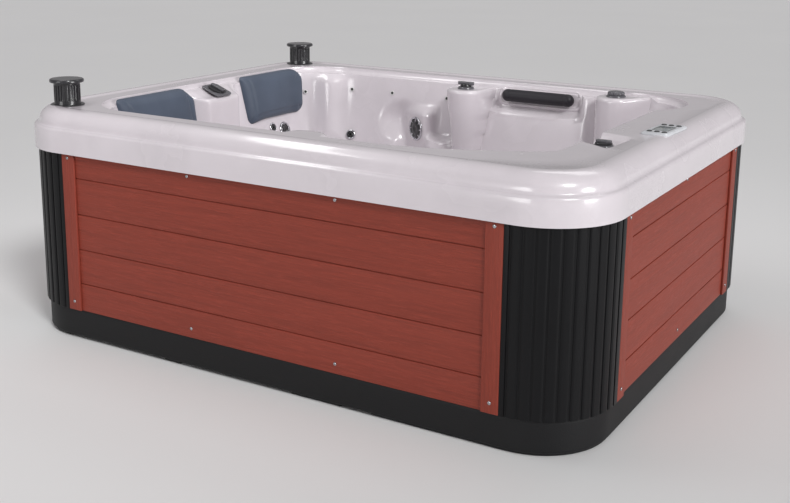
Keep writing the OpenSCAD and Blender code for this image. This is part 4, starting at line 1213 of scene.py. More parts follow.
class TubColours(bpy.types.PropertyGroup):
    shell: paint("Shell", "Pearl colour of the moulded shell", tone(214, 207, 212))
    boards: paint("Boards", "Red-brown of the side panels", tone(134, 56, 42))
    covers: paint("Covers", "Black of the corner covers and the base pan", tone(12, 12, 14))
    pillows: paint("Pillows", "Slate blue of the head pillows", tone(74, 83, 98))
    trim: paint("Trim", "Black of the speakers and knobs", tone(28, 28, 31))
    smoke: paint("Smoked trim", "Grey of the valve plates and collars", tone(88, 87, 92))
    metal: paint("Bright metal", "Chrome of the jets", tone(208, 208, 212))


# ---------------------------------------------------------------- pieces


class TUB_OT_stage(bpy.types.Operator):
    """Set up the pale floor, the soft lights, the world and the camera"""

    bl_idname = "tub.stage"
    bl_label = "Stage"

    # Far lights: name, where they shine from, strength, and softness in degrees
    SUNS = (
        ("Key", (0.75, -0.45, 0.70), 1.60, 14),
        ("Side", (1.0, -0.1, 0.07), 1.45, 20),
        ("Fill", (-0.2, -1.0, 0.07), 0.80, 25),
    )
    # Near lights: name, place, target, width, height, power
    BOXES = (
        ("Softbox", (0.6, 1.6, 3.4), (0.0, 0.2, 0.7), 2.2, 1.0, 14),
        ("Overhead", (-1.6, -0.9, 3.2), (-0.1, -0.85, 0.8), 2.4, 0.45, 22),
    )
    ROOM_COLOUR = (1.0, 0.972, 0.988, 1.0)
    ROOM_LIGHT = 0.31
    FLOOR_REACH = 60.0
    # The camera, fitted to the photo: focal length and width in pixels, place in metres,
    # and its turn, tilt and roll in radians
    FOCUS, FRAME_WIDTH, SENSOR = 1131.58, 790, 36.0
    SHIFT = -0.1
    PLACE = (2.03975, -3.47222, 1.43884)
    TURN, TILT, ROLL = 2.105, -0.22106, 0.01065

    def execute(self, context):
        scene = context.scene
        scene.view_settings.view_transform = "Standard"
        mesh = bpy.data.meshes.new("Floor")
        far = self.FLOOR_REACH
        corners = [(-far, -far, 0), (far, -far, 0), (far, far, 0), (-far, far, 0)]
        mesh.from_pydata(corners, [], [(0, 1, 2, 3)])
        mesh.materials.append(finish("floor"))
        floor = bpy.data.objects.new("Floor", mesh)
        scene.collection.objects.link(floor)

        world = bpy.data.worlds.new("Soft room")
        world.use_nodes = True
        sky = world.node_tree.nodes["Background"]
        sky.inputs["Color"].default_value = self.ROOM_COLOUR
        sky.inputs["Strength"].default_value = self.ROOM_LIGHT
        scene.world = world

        for name, source, strength, softness in self.SUNS:
            light = bpy.data.lights.new(name, "SUN")
            light.energy = strength
            light.angle = math.radians(softness)
            self.lamp(light, (0, 0, 0), source)
        for name, spot, target, wide, high, power in self.BOXES:
            light = bpy.data.lights.new(name, "AREA")
            light.shape = "RECTANGLE"
            light.size, light.size_y = wide, high
            light.energy = power
            self.lamp(light, spot, Vector(spot) - Vector(target))

        camera = bpy.data.objects.new("Camera", bpy.data.cameras.new("Camera"))
        camera.data.sensor_width = self.SENSOR
        camera.data.lens = self.FOCUS / self.FRAME_WIDTH * self.SENSOR
        camera.data.shift_y = self.SHIFT
        camera.data.clip_end = 200.0
        flat = math.cos(self.TILT)
        look = Vector((flat * math.cos(self.TURN), flat * math.sin(self.TURN), math.sin(self.TILT)))
        side = look.cross(Vector((0, 0, 1))).normalized()
        up = side.cross(look)
        right = side * math.cos(self.ROLL) + up * math.sin(self.ROLL)
        over = up * math.cos(self.ROLL) - side * math.sin(self.ROLL)
        place = Matrix((right, over, -look)).transposed().to_4x4()
        place.translation = self.PLACE
        camera.matrix_world = place
        scene.collection.objects.link(camera)
        scene.camera = camera
        return {"FINISHED"}

    def lamp(self, light, spot, back):
        """Hangs a light at a spot, with its back to a direction."""
        lamp = bpy.data.objects.new(light.name, light)
        lamp.location = spot
        lamp.rotation_euler = Vector(back).to_track_quat("Z", "Y").to_euler()
        bpy.context.scene.collection.objects.link(lamp)


# Places of the fittings on the shell, as in the CAD, in millimetres
SPEAKER_X, SPEAKER_Y = -932.0, 696.0
DIVERTER = (-843.0, 0, 761.98)
PANEL = (982, -22, 0)
PANEL_TURN = math.radians(-2.5)
BOLSTER = (257, 648, 748)
LEVER_VALVE = (-24, 572, 771.3)
ROUND_VALVE = (588, 628, 785.3)
AIR_CONTROL = (868, -250, 771.3)
# Foot and top of the battens and the corner covers
SIDES_LOW, SIDES_HIGH = 108.3, 654.0


def moved(x, y, z=0):
    """A place at a spot, unturned."""
    return Matrix.Translation((x, y, z))


def panel_place():
    return Matrix.Translation(PANEL) @ Matrix.Rotation(PANEL_TURN, 4, "Z")


def diverter_place():
    """Where the diverter stands, tilted to the axis of its knob."""
    _, axis = joint("diverter_knob")
    return Matrix.Translation(DIVERTER) @ Matrix.Rotation(math.acos(axis.z), 4, "Y")


class TUB_OT_shell(bpy.types.Operator):
    """Sweep the moulded shell round its spine and cut the holes for its fittings"""

    bl_idname = "tub.shell"
    bl_label = "Moulded shell"

    # Radii of the holes for turned fittings, and of the flat seats round some of them
    HOLES = {
        "small_jets": 12.9, "air_injectors": 6.5, "suction_covers": 25.6, "floor_drain": 20.6,
        "light_lens": 30.6,
    }
    SEATS = {"light_lens": 42.9, "suction_covers": 50.9}

    def execute(self, context):
        mould = Mould(sizes())
        points, faces, marks = shell_form(mould, sizes().shell_columns)
        form = Form()
        form.skin(points, faces, "pearl")
        form.finishes.append("resin")
        form.marks = marks
        shell = form.build("moulded_shell")
        plugs, seats = Form(), Form()

        def hole(place, radius, low, high):
            plugs.rod(radius, low, high, "pearl", place)

        for s in (-1, 1):
            place = moved(SPEAKER_X, s * SPEAKER_Y, mould.plat)
            hole(place, 48.4, -30, 30)
            seats.rod(58.6, 0, 20, "pearl", place)
        hole(diverter_place(), 26, -60, 30)
        for c, _, _, top in mould.piers[:2]:
            hole(moved(*c, top), 18, -50, 30)
        hole(moved(*mould.knob, mould.plat), 18, -60, 10)
        pocket, well = Form(), Form()
        low, high = mould.plat - 2, mould.plat + 18
        pocket.plate(44 + GAP, 95 + GAP, 12 + GAP, low, high, 0.3, "pearl", panel_place())
        low, high = mould.plat - 22, mould.plat + 8
        well.block((-38, -60, low), (-14, 60, high), "pearl", panel_place())
        for k in (1, 2, 3, 4):
            spot, axis = joint(f"seat_jet_face_{k}")
            hole(facing(spot, axis), 22.6, -20, 20)
        spot, axis = joint("foot_jet_face")
        hole(facing(spot, axis), 30.6, -20, 20)
        seats.rod(52, 0.5, 20, "pearl", facing(spot, axis))
        for node, radius in self.HOLES.items():
            for spot, axis in turned_places(node):
                hole(facing(spot, axis), radius, -40, 8)
                if node in self.SEATS:
                    seats.rod(self.SEATS[node], 0, 16, "pearl", facing(spot, axis))
        low, high = (c * 1000 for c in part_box("skimmer_frame"))
        plugs.block(low - Vector((GAP, 40, GAP)), high + Vector((GAP, 60, GAP)), "pearl")
        cut(shell, plugs, seats, pocket, well)
        joined(shell, self.tray(mould))
        settle(shell, "tub", "tub_shell", sharp=38)
        return {"FINISHED"}

    def tray(self, mould):
        """A soft raised frame round the bolster, laid on the back wall."""
        turns = np.linspace(0.35, 1.95, 600)[::12]

        def on_wall(x, z):
            """The wall's point at x, found among rays at even turns."""
            xs = np.array([mould.lip_point(t, z).x for t in turns])
            order = np.argsort(xs)
            return mould.lip_point(float(np.interp(x, xs[order], turns[order])), z)

        path = [(BOLSTER[0] + x, BOLSTER[2] - 6 + z) for x, z in round_rect(174, 33, 31, 12)]
        rings = []
        for k, (x, z) in enumerate(path):
            spot = on_wall(x, z)
            across = on_wall(x + 3, z) - on_wall(x - 3, z)
            up = on_wall(x, z + 3) - on_wall(x, z - 3)
            n = across.cross(up).normalized()
            n = n if n.y < 0 else -n
            (x0, z0), (x1, z1) = path[k - 1], path[(k + 1) % len(path)]
            side = Vector((x1 - x0, 0, z1 - z0)).cross(n).normalized()
            arc = np.linspace(0, 2 * math.pi, 14, endpoint=False)
            rings.append([
                spot + side * 7.5 * math.cos(a) + n * (6.2 * math.sin(a) - 0.6) for a in arc
            ])
        form = Form()
        form.loft(rings + [rings[0]], "pearl", cap0=False, cap1=False)
        return form.build("bolster_tray")


class TUB_OT_panels(bpy.types.Operator):
    """Extrude the four grooved side panels"""

    bl_idname = "tub.panels"
    bl_label = "Side panels"

    # Heights of the grooves over the panel's foot, and the depth that counts as its face
    GROOVES = (98, 219.5, 342.5, 467)
    FACE_DEPTH = 6

    def execute(self, context):
        for node in ("front_panel", "back_panel", "left_panel", "right_panel"):
            low, high = (c * 1000 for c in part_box(node))
            wide = high - low
            flat = 1 if wide.x > wide.y else 0
            run = 1 - flat
            sign = 1 if (low + high)[flat] > 0 else -1
            outer = max(abs(low[flat]), abs(high[flat]))
            half = wide[run] / 2
            rings = []
            for s, inset in ((-1, 1.2), (-1, 0.35), (-1, 0.0), (1, 0.0), (1, 0.35), (1, 1.2)):
                ring = []
                for depth, z in self.profile(low.z, high.z, wide[flat]):
                    p = [0.0, 0.0, z]
                    p[run] = s * (half - inset)
                    p[flat] = sign * (outer - depth - (inset if depth < self.FACE_DEPTH else 0.0))
                    ring.append(p)
                rings.append(ring)
            form = Form()
            form.loft(rings, "board")
            settle(form.build(node.replace("_panel", "_side_boards")), "tub", node, sharp=30)
        return {"FINISHED"}

    def profile(self, low, high, thick):
        """(depth from the face, height) round the section, with its soft-edged grooves."""
        half = sizes().groove_width * 500
        deep = sizes().groove_depth * 1000
        lower = ((0.0, 2.2), (0.25, 1.1), (1.0, 0.3), (deep - 0.6, 0), (deep, -0.6))
        out = [(thick, low), (1.4, low), (0.4, low + 0.4), (0.0, low + 1.4)]
        for z in self.GROOVES:
            out += [(depth, low + z - half - d) for depth, d in lower]
            out += [(depth, low + z + half + d) for depth, d in lower[::-1]]
        return out + [(0.0, high - 1.4), (0.4, high - 0.4), (1.4, high), (thick, high)]


class TUB_OT_battens(bpy.types.Operator):
    """Stand a rounded batten on each side of every corner"""

    bl_idname = "tub.battens"
    bl_label = "Battens"

    WIDTH, THICK = 55.0, 7.7

    def execute(self, context):
        form = Form()
        for flat, out, mid in ((1, 842.0, 792.2), (0, 1068.0, 554.2)):
            for s in (-1, 1):
                for m in (-1, 1):
                    low, high = [0, 0, SIDES_LOW], [0, 0, SIDES_HIGH]
                    low[1 - flat] = m * mid - self.WIDTH / 2
                    high[1 - flat] = m * mid + self.WIDTH / 2
                    low[flat], high[flat] = sorted((s * out, s * (out - self.THICK)))
                    form.block(low, high, "upright_board", edge=1.8)
        settle(form.build("corner_battens"), "tub", "cabinet_battens", sharp=40)
        return {"FINISHED"}


class TUB_OT_corner_covers(bpy.types.Operator):
    """Bend the four ribbed corner covers; their ribs repeat by geometry nodes"""

    bl_idname = "tub.corner_covers"
    bl_label = "Corner covers"

    # Middle of a corner's round, its outer and inner radius, and the flats beyond it
    MID = Vector((838.0, 612.0))
    OUTER, INNER = 230.0, 210.0
    LONG_FLAT, SHORT_FLAT = 30.0, 18.0
    # Half the slot between two ribs, and the depth of the ribs
    SLOT, RIB = 3.0, 4.0

    def execute(self, context):
        pieces = []
        for quarter, (sx, sy) in enumerate(((1, 1), (-1, 1), (-1, -1), (1, -1))):
            mid = Vector((sx * self.MID.x, sy * self.MID.y))
            start = quarter * math.pi / 2
            ends = (self.LONG_FLAT, self.SHORT_FLAT)
            if sx * sy < 0:
                ends = ends[::-1]
            core = Form()
            path = self.path(mid, start, ends)
            core.loft([[(*p, z) for p in path] for z in (SIDES_LOW, SIDES_HIGH)], "cover")
            pieces += [core.build("ribbed_corner_covers"), self.ribs(mid, start)]
            for turn, side, length in ((0.0, -1, ends[0]), (math.pi / 2, 1, ends[1])):
                pieces.append(self.flat(mid, start + turn, side, length))
        settle(joined(*pieces), "tub", "corner_covers", sharp=32)
        return {"FINISHED"}

    def ribs(self, mid, start):
        """The upright ribs of one corner: one with rounded edges, repeated round the corner."""
        count = sizes().rib_count
        step = math.pi / 2 / count
        half_slot = self.SLOT / self.OUTER
        foot = self.OUTER - self.RIB - 1
        rings = []
        for k in range(9):
            a = start + lerp(half_slot, step - half_slot, k / 8)
            out = self.OUTER - 2.6 * max(0.0, (abs(k - 4) - 2.6) / 1.4) ** 2
            half = ((foot, 0), (out - 1.2, 0), (out, 1.2))
            section = [(r, SIDES_LOW + z) for r, z in half]
            section += [(r, SIDES_HIGH - z) for r, z in half[::-1]]
            x, y = math.cos(a), math.sin(a)
            rings.append([(mid.x + r * x, mid.y + r * y, z) for r, z in section])
        rib = Form()
        rib.loft(rings, "cover")
        return turned_copies(rib, count, step, mid, "cover")

    def flat(self, mid, angle, side, length):
        """The flat strip that carries one end of a corner cover on under its batten."""
        n = Vector((math.cos(angle), math.sin(angle)))
        t = Vector((-n.y, n.x)) * side
        c = mid + n * (self.OUTER - 2.0)
        a, b = c + t * self.SLOT - n * 3, c + t * length + n * 2
        form = Form()
        low = (min(a.x, b.x), min(a.y, b.y), SIDES_LOW)
        high = (max(a.x, b.x), max(a.y, b.y), SIDES_HIGH)
        form.block(low, high, "cover", edge=1.2)
        return form.build("flat")

    def path(self, mid, start, ends):
        """Plan outline of one cover's core: the round, with a short flat at each end."""
        first, last = (Vector((math.sin(start), -math.cos(start))) * ends[0],
                       Vector((-math.cos(start), -math.sin(start))) * ends[1])
        out = []
        for r, order in ((self.OUTER - self.RIB, 1), (self.INNER, -1)):
            arc = [start + math.pi / 2 * k / 32 for k in range(33)]
            pts = [mid + r * Vector((math.cos(a), math.sin(a))) for a in arc]
            out += [pts[0] + first, *pts, pts[-1] + last][::order]
        return out


class TUB_OT_screws(bpy.types.Operator):
    """Set the pan-head screws of the cabinet, by geometry nodes"""

    bl_idname = "tub.screws"
    bl_label = "Cabinet screws"

    # (radius, height from the top of the head), from the tip up
    HEAD = (
        (0, -31.5), (2.2, -30), (2.5, -28), (2.5, -2.2), (5.4, -2.0), (5.5, -1.6), (5.1, -0.7),
        (4.0, -0.15), (2.0, 0), (0, 0),
    )

    def execute(self, context):
        places = []
        for pts in solids("cabinet_screws"):
            low, high = pts.min(0), pts.max(0)
            spot = (low + high) / 2
            flat = int(np.argmax(high - low))
            outward = 1.0 if spot[flat] > 0 else -1.0
            spot[flat] = high[flat] if outward > 0 else low[flat]
            axis = [0.0, 0.0, 0.0]
            axis[flat] = outward
            places.append((spot.tolist(), axis))
        head = Form()
        head.turned(self.HEAD, "steel", n=28)
        screws = head.build("cabinet_screw_heads")
        slots = Form(), Form()
        for slot, x, y in zip(slots, (2.6, 0.5), (0.5, 2.6)):
            slot.block((-x, -y, -1.1), (x, y, 1.0), "steel")
        cut(screws, *slots)
        settle(set_on(screws, places, "steel"), "tub", "cabinet_screws", sharp=40)
        return {"FINISHED"}


class TUB_OT_base_pan(bpy.types.Operator):
    """Mould the base pan with its soft edges and lifting notches"""

    bl_idname = "tub.base_pan"
    bl_label = "Base pan"

    HALF_X, HALF_Y, CORNER = 1058.0, 832.0, 220.0
    # The pan's section: (inset from its outside, height), from the foot over the rim to its floor
    SECTION = (
        (22, 0), (14, 0.6), (8.5, 2.6), (6.2, 6), (6, 9), (5, 10.2), (2.4, 11.2), (0.8, 13),
        (0.1, 16), (0, 20), (0, 60), (0, 96), (0.3, 103), (1.4, 106.6), (3.4, 108), (8, 108),
        (9.4, 107), (10, 105), (10, 30), (12, 22), (17, 17.6), (24, 17),
    )
    # The lifting notches: start and length along the front, and how high and deep they cut
    FRONT_NOTCHES = ((-850, 450), (290, 110), (-340, 450))
    END_NOTCH = 225
    NOTCH_Z, NOTCH_IN = 8.7, 24

    def execute(self, context):
        x, y, r = self.HALF_X, self.HALF_Y, self.CORNER
        rings = []
        for i, z in self.SECTION:
            rings.append([(*p, z) for p in round_rect(x - i, y - i, r - i, 14)])
        form = Form()
        form.loft(rings, "pan")
        pan = form.build("base_pan_moulding")
        notches = Form()
        for start, long in self.FRONT_NOTCHES:
            low, high = (start, -y - 8, -4), (start + long, self.NOTCH_IN - y, self.NOTCH_Z)
            notches.block(low, high, "pan", edge=2.0)
        for s in (-1, 1):
            x0, x1 = sorted((s * (x - self.NOTCH_IN), s * (x + 8)))
            low, high = (x0, -self.END_NOTCH, -4), (x1, self.END_NOTCH, self.NOTCH_Z)
            notches.block(low, high, "pan", edge=2.0)
        notches.rod(17.3, -40, 40, "pan", facing((40, y - 10, 40.7), (0, 1, 0)))
        cut(pan, notches)
        settle(pan, "tub", "base_pan", sharp=34)
        return {"FINISHED"}


class TUB_OT_frame(bpy.types.Operator):
    """Round the edges of the timber uprights and rails and the floor pad"""

    bl_idname = "tub.frame"
    bl_label = "Timber frame"

    def execute(self, context):
        dressed("frame_posts", "timber_uprights", "timber", edge=2.0)
        dressed("frame_rails", "timber_rails", "timber", edge=2.0)
        dressed("floor_pad", "footwell_pad", "foam", edge=3.0)
        return {"FINISHED"}


class TUB_OT_pillows(bpy.types.Operator):
    """Shape the two head pillows against the left wall"""

    bl_idname = "tub.pillows"
    bl_label = "Head pillows"

    HALF_LONG, HALF_HIGH = 196.5, 99.0
    # Corner radii by (towards the back, towards the top)
    CORNERS = {(False, True): 14.0, (True, True): 62.0, (False, False): 28.0, (True, False): 40.0}
    # How much narrower the lower front corner is, and how far the lower edge rises
    SLANT, RISE = 34, 10
    # Squares of the grid along and up a pillow, and how far its back stands off the wall
    ALONG, UP = 116, 64
    BACK_OFF, EDGE_THICK = 1.4, 3.0
    # The seam: its distance from the edge, its half width and its depth, and the step outside it
    SEAM_IN, SEAM_HALF, SEAM_DEEP, SEAM_STEP = 21, 3.0, 3.0, 3.2

    def execute(self, context):
        mould = Mould(sizes())
        for node, mid in (("pillow_front_left", -322.0), ("pillow_back_left", 379.0)):
            self.pillow(mould, node, mid)
        return {"FINISHED"}

    def on_wall(self, mould, mid):
        """The grid of places on the wall, each with the direction away from it."""
        turns = np.linspace(math.pi - 0.95, math.pi + 0.95, 500)
        ys = np.array([mould.wall_point(t, 690).y for t in turns])
        order = np.argsort(ys)
        half_l, half_h = self.HALF_LONG, self.HALF_HIGH
        zc = mould.top - 6 - half_h
        grid = []
        for i in range(self.ALONG + 1):
            for j in range(self.UP + 1):
                s, t = i / self.ALONG * 2 - 1, j / self.UP * 2 - 1
                s2, t2 = soft_square(s, t, half_l, half_h, self.CORNERS[s > 0, t > 0])
                under = max(0.0, (1 - t2) / 2)
                y = mid + s2 * half_l + self.SLANT * (1 - s2) / 2 * under ** 0.7
                z = zc + t2 * half_h + self.RISE * ease(-1, -0.3, s2) * under
                th = float(np.interp(y, ys[order], turns[order]))
                d1 = mould.wall_point(th + 0.02, z) - mould.wall_point(th - 0.02, z)
                d2 = mould.wall_point(th, z + 8) - mould.wall_point(th, z - 8)
                n = d1.cross(d2).normalized()
                grid.append((s, t, mould.wall_point(th, z), -n if n.x < 0 else n))
        return grid

    def crown(self, s, t):
        """How far the pillow's face stands off the wall, with its seam pressed in."""
        thick = sizes().pillow_crown * 1000 - self.EDGE_THICK
        e = max(0.0, 1 - abs(s) ** 7) * max(0.0, 1 - abs(t) ** 7)
        lift = self.EDGE_THICK + thick * math.sqrt(e) * (1 - 0.16 * s * s - 0.2 * t * t)
        rim = min((1 + s) * self.HALF_LONG * 0.56, (1 + t) * self.HALF_HIGH * 0.8)
        seam = self.SEAM_DEEP * bell((rim - self.SEAM_IN) / self.SEAM_HALF)
        outside = 1 - ease(self.SEAM_IN - 5, self.SEAM_IN + 3, rim)
        return lift - seam - self.SEAM_STEP * outside

    def pillow(self, mould, node, mid):
        grid = self.on_wall(mould, mid)
        points = [p + n * self.BACK_OFF for _, _, p, n in grid]
        points += [p + n * self.crown(s, t) for s, t, p, n in grid]
        nu, nv = self.ALONG, self.UP
        w, total = nv + 1, len(grid)
        faces = []
        for i in range(nu):
            for j in range(nv):
                a = i * w + j
                faces.append((a, a + 1, a + w + 1, a + w))
                faces.append((total + a, total + a + w, total + a + w + 1, total + a + 1))
        ring = [i * w for i in range(nu + 1)] + [nu * w + j for j in range(1, nv + 1)]
        ring += [i * w + nv for i in range(nu - 1, -1, -1)] + list(range(nv - 1, 0, -1))
        for k, a in enumerate(ring):
            b = ring[(k + 1) % len(ring)]
            faces.append((a, b, total + b, total + a))
        form = Form()
        form.skin(points, faces, "pillow")
        pillow = form.build(node + "_cushion")
        settle(pillow, "tub", node, sharp=60)


def soft_square(s, t, half_x, half_y, r):
    """Maps a square grid into a rectangle with round corners of radius r."""
    x, y = s * half_x, t * half_y
    cx, cy = abs(x) - (half_x - r), abs(y) - (half_y - r)
    if cx > 0 and cy > 0:
        m = max(cx, cy)
        d = math.hypot(cx, cy)
        cx, cy = cx / d * m, cy / d * m
        x = math.copysign(half_x - r + cx, x)
        y = math.copysign(half_y - r + cy, y)
    return x / half_x, y / half_y


class TUB_OT_bolster(bpy.types.Operator):
    """Shape the round neck bolster with its end seams"""

    bl_idname = "tub.bolster"
    bl_label = "Neck bolster"

    HALF_LONG, RADIUS = 153.0, 25.0
    # The two end seams: distance from the round ends, half width and depth
    SEAM_IN, SEAM_HALF, SEAM_DEEP = 12, 2.0, 1.6

    def execute(self, context):
        r, straight = self.RADIUS, self.HALF_LONG - self.RADIUS
        turns = np.linspace(0, math.pi / 2 - 0.02, 14)
        end = [(r * math.cos(a), straight + r * math.sin(a)) for a in turns]
        outline = [(x, -z) for x, z in end[::-1]]
        for k in range(1, 60):
            z = straight * (k / 30 - 1)
            seam = bell((straight - abs(z) - self.SEAM_IN) / self.SEAM_HALF)
            outline.append((r - self.SEAM_DEEP * seam, z))
        form = Form()
        form.turned(outline + end, "bolster", facing(BOLSTER, (1, 0, 0)), n=56)
        bolster = form.build("neck_bolster")
        settle(bolster, "tub", "bolster_pillow", sharp=60)
        return {"FINISHED"}


class TUB_OT_speakers(bpy.types.Operator):
    """Turn the two pop-up speakers, with their sleeves, slats and caps"""

    bl_idname = "tub.speakers"
    bl_label = "Pop-up speakers"

    # Outlines as (radius, height): the sleeve's over the ledge, the drum's over the rim's crest
    # and the cap's over the drum
    SLEEVE = (
        (45.4, -70), (47.8, -70), (47.8, 0), (57.4, 0), (58, 1), (57.6, 2.4), (55.5, 3.7), (52, 4),
        (48.5, 3.6), (46, 2.4), (45.4, 1),
    )
    DRUM = (
        (0, -110.3), (43.5, -110.3), (44.9, -108.9), (45, -107.3), (45, 12), (44.6, 13.2), (42, 14),
        (41.6, 16), (41.6, 64), (42, 66), (44.6, 66.8), (45, 68), (45, 73.7), (44, 74.7), (0, 74.7),
    )
    CAP = (
        (0, 0), (54, 0), (56.8, 0.6), (58.3, 2.2), (58.5, 4), (58.5, 7.4), (57.9, 9.6),
        (56.2, 11.6), (53.6, 12.7), (50, 13), (30, 12.7), (12, 12.5), (0, 12.5),
    )
    RADIUS = 45.0
    CAP_Z = 75
    # The slats: their foot and top, the radius that they root in, and half the slot between two
    SLAT_LOW, SLAT_HIGH, SLAT_ROOT, SLOT = 13, 67, 41, 2.0

    def execute(self, context):
        top = sizes().rim_height * 1000
        sleeves = Form()
        for s in (-1, 1):
            place = moved(SPEAKER_X, s * SPEAKER_Y, top - 4 + GAP)
            sleeves.ring(self.SLEEVE, "black", place)
        settle(sleeves.build("speaker_sleeve_rings"), "tub", "speaker_sleeves")
        for body, s in (("speaker_front", -1), ("speaker_back", 1)):
            self.speaker(body, (SPEAKER_X, s * SPEAKER_Y), top)
        return {"FINISHED"}

    def speaker(self, body, spot, top):
        core = Form()
        core.turned(self.DRUM, "black", moved(*spot, top), n=96)
        count = sizes().slat_count
        half = math.pi / count - self.SLOT / self.RADIUS
        rings = []
        for k in range(7):
            a = half * (k / 3 - 1)
            r = self.RADIUS - 0.9 * (abs(k - 3) / 3) ** 3
            section = (
                (self.SLAT_ROOT, self.SLAT_LOW), (r, self.SLAT_LOW), (r, self.SLAT_HIGH),
                (self.SLAT_ROOT, self.SLAT_HIGH),
            )
            rings.append([(r0 * math.cos(a), r0 * math.sin(a), z) for r0, z in section])
        slat = Form()
        slat.loft(rings, "black", moved(*spot, top))
        drum = core.build(body + "_drum")
        slats = turned_copies(slat, count, 2 * math.pi / count, spot, "black")
        settle(joined(drum, slats), body, body, sharp=30)
        cap = Form()
        cap.turned(self.CAP, "cap", moved(*spot, top + self.CAP_Z), n=112)
        settle(cap.build(body + "_lid"), body, body.replace("speaker", "speaker_cap"), sharp=30)


class TUB_OT_control_panel(bpy.types.Operator):
    """Build the control panel: its housing, screen and six buttons"""

    bl_idname = "tub.control_panel"
    bl_label = "Control panel"

    # Outlines as (radius, height over the panel's foot)
    TRIM_RING = (
        (7.85, 9.6), (9.6, 9.6), (9.6, 10.2), (9.0, 10.6), (8.2, 10.6), (7.85, 10.3),
    )
    BUTTON = (
        (0, 6.5), (7.3, 6.5), (7.5, 6.8), (7.5, 11.4), (7.2, 12.2), (6.4, 12.6), (5.6, 12.5),
        (3, 12.1), (0, 12.0),
    )
    # Generic marks on the screen: half width, half length, corner, and middle
    MARKS = (
        (2.6, 9, 1.2, (14, 18)), (2.6, 9, 1.2, (5, 18)), (2.6, 9, 1.2, (-4, 18)),
        (7, 1.1, 1.0, (8, -17.6)), (7, 1.1, 1.0, (8, -10.4)),
        (7, 1.1, 1.0, (8, -26.6)), (7, 1.1, 1.0, (8, -1.4)),
    )
    BUTTON_SPOTS = [(k * 24.0, s * 65.0) for s in (-1, 1) for k in (-1, 0, 1)]

    def execute(self, context):
        base = sizes().rim_height * 1000 - 6 + GAP
        place = panel_place() @ moved(0, 0, base)
        spots = [place @ moved(*spot) for spot in self.BUTTON_SPOTS]
        form = Form()
        form.plate(44, 95, 12, 0, 8, 1.6, "silver", place, soft=5)
        form.plate(40, 91, 10, 7, 10, 1.0, "silver", place, soft=5)
        housing = form.build("panel_housing_face")
        holes = Form()
        x, y = 25 + GAP, 37 + GAP
        holes.block((-x, -y, 6), (x, y, 14), "silver", place, edge=0.2)
        for spot in spots:
            holes.rod(7.5 + GAP, 5, 14, "silver", spot)
        cut(housing, holes)
        trim = Form()
        trim.block((-37, -58, -16), (-15, 58, 1), "silver", place, edge=1.5)
        trim.frame((27.5, 39.5), (25.4, 37.4), 9.6, 10.5, "black", place)
        for spot in spots:
            trim.ring(self.TRIM_RING, "black", spot, n=40)
        settle(joined(housing, trim.build("trim")), "tub", "panel_housing", sharp=32)
        screen = Form()
        screen.plate(25, 37, 2, 6.3, 10.2, 0.5, "screen", place)
        for x, y, corner, mid in self.MARKS:
            screen.plate(x, y, corner, 10.15, 10.3, 0.05, "marks", place @ moved(*mid))
        settle(screen.build("panel_screen"), "tub", "panel_display", sharp=32)
        for k, spot in enumerate(spots):
            cap = Form()
            cap.turned(self.BUTTON, "black", spot, n=40)
            mark = self.mark(k % 3)
            cap.loft([[(x, y, z) for x, y in mark] for z in (11.9, 12.35)], "marks", spot)
            body = f"panel_button_{k + 1}"
            settle(cap.build(body + "_cap"), body, body, sharp=32)
        return {"FINISHED"}

    def mark(self, row):
        """The mark on a button: an arrow on the outer ones, a dot on the middle one."""
        if row == 1:
            turns = np.linspace(0, 2 * math.pi, 20, endpoint=False)
            return [(1.9 * math.cos(a), 1.9 * math.sin(a)) for a in turns]
        s = 1 if row else -1
        return [(0, 2.2 * s), (2.1, -1.5 * s), (-2.1, -1.5 * s)]


class TUB_OT_diverter(bpy.types.Operator):
    """Build the square diverter plate on the arm and its turning grip"""

    bl_idname = "tub.diverter"
    bl_label = "Diverter valve"

    # Outlines as (radius, height over the ledge)
    RIM = ((34.2, 6.4), (37.6, 6.4), (37.4, 7.4), (36.6, 8), (35.2, 8), (34.4, 7.4))
    KNOB = (
        (0, 0.3), (10, 0.3), (10, 7.3), (32, 7.3), (33, 8.2), (33, 11), (32.2, 12.2), (30, 12.8),
        (0, 13),
    )

    def execute(self, context):
        place = diverter_place()
        plate = Form()
        plate.plate(46, 46, 14, 0, 7, 2.4, "smoke", place, soft=6)
        plate.rod(25.5, -46, 0.5, "grey", place)
        base = plate.build("diverter_base")
        bore = Form()
        bore.rod(10.3, -1, 20, "smoke", place)
        cut(base, bore)
        rim = Form()
        rim.ring(self.RIM, "black", place, n=80)
        settle(joined(base, rim.build("rim")), "tub", "diverter_plate", sharp=32)
        knob = Form()
        knob.turned(self.KNOB, "black", place, n=80)
        knob.grip(64, 18, 12, 21.2, 2.6, "smoke", place)
        settle(knob.build("diverter_grip"), "diverter_knob", "diverter_knob", sharp=34)
        return {"FINISHED"}


def collar(name, spot, d, high, node):
    """A flared collar on the shell, hollow for its spindle. Gives the place on top of it."""
    r = d / 2
    flare = (
        (8.3, -10), (17.6, -10), (17.6, -0.1), (r - 0.8, 0), (r, 0.8), (r - 0.3, 1.8),
        (r - 2.2, high - 1.2), (r - 3.4, high - 0.2), (r - 5, high), (8.3, high),
    )
    form = Form()
    form.ring(flare, "smoke", moved(*spot), n=88)
    form.ring(((8.4, -44), (17.7, -44), (17.7, -9), (8.4, -9)), "grey", moved(*spot), n=48)
    settle(form.build(name), "tub", node)
    x, y, z = spot
    return moved(x, y, z + high + GAP)


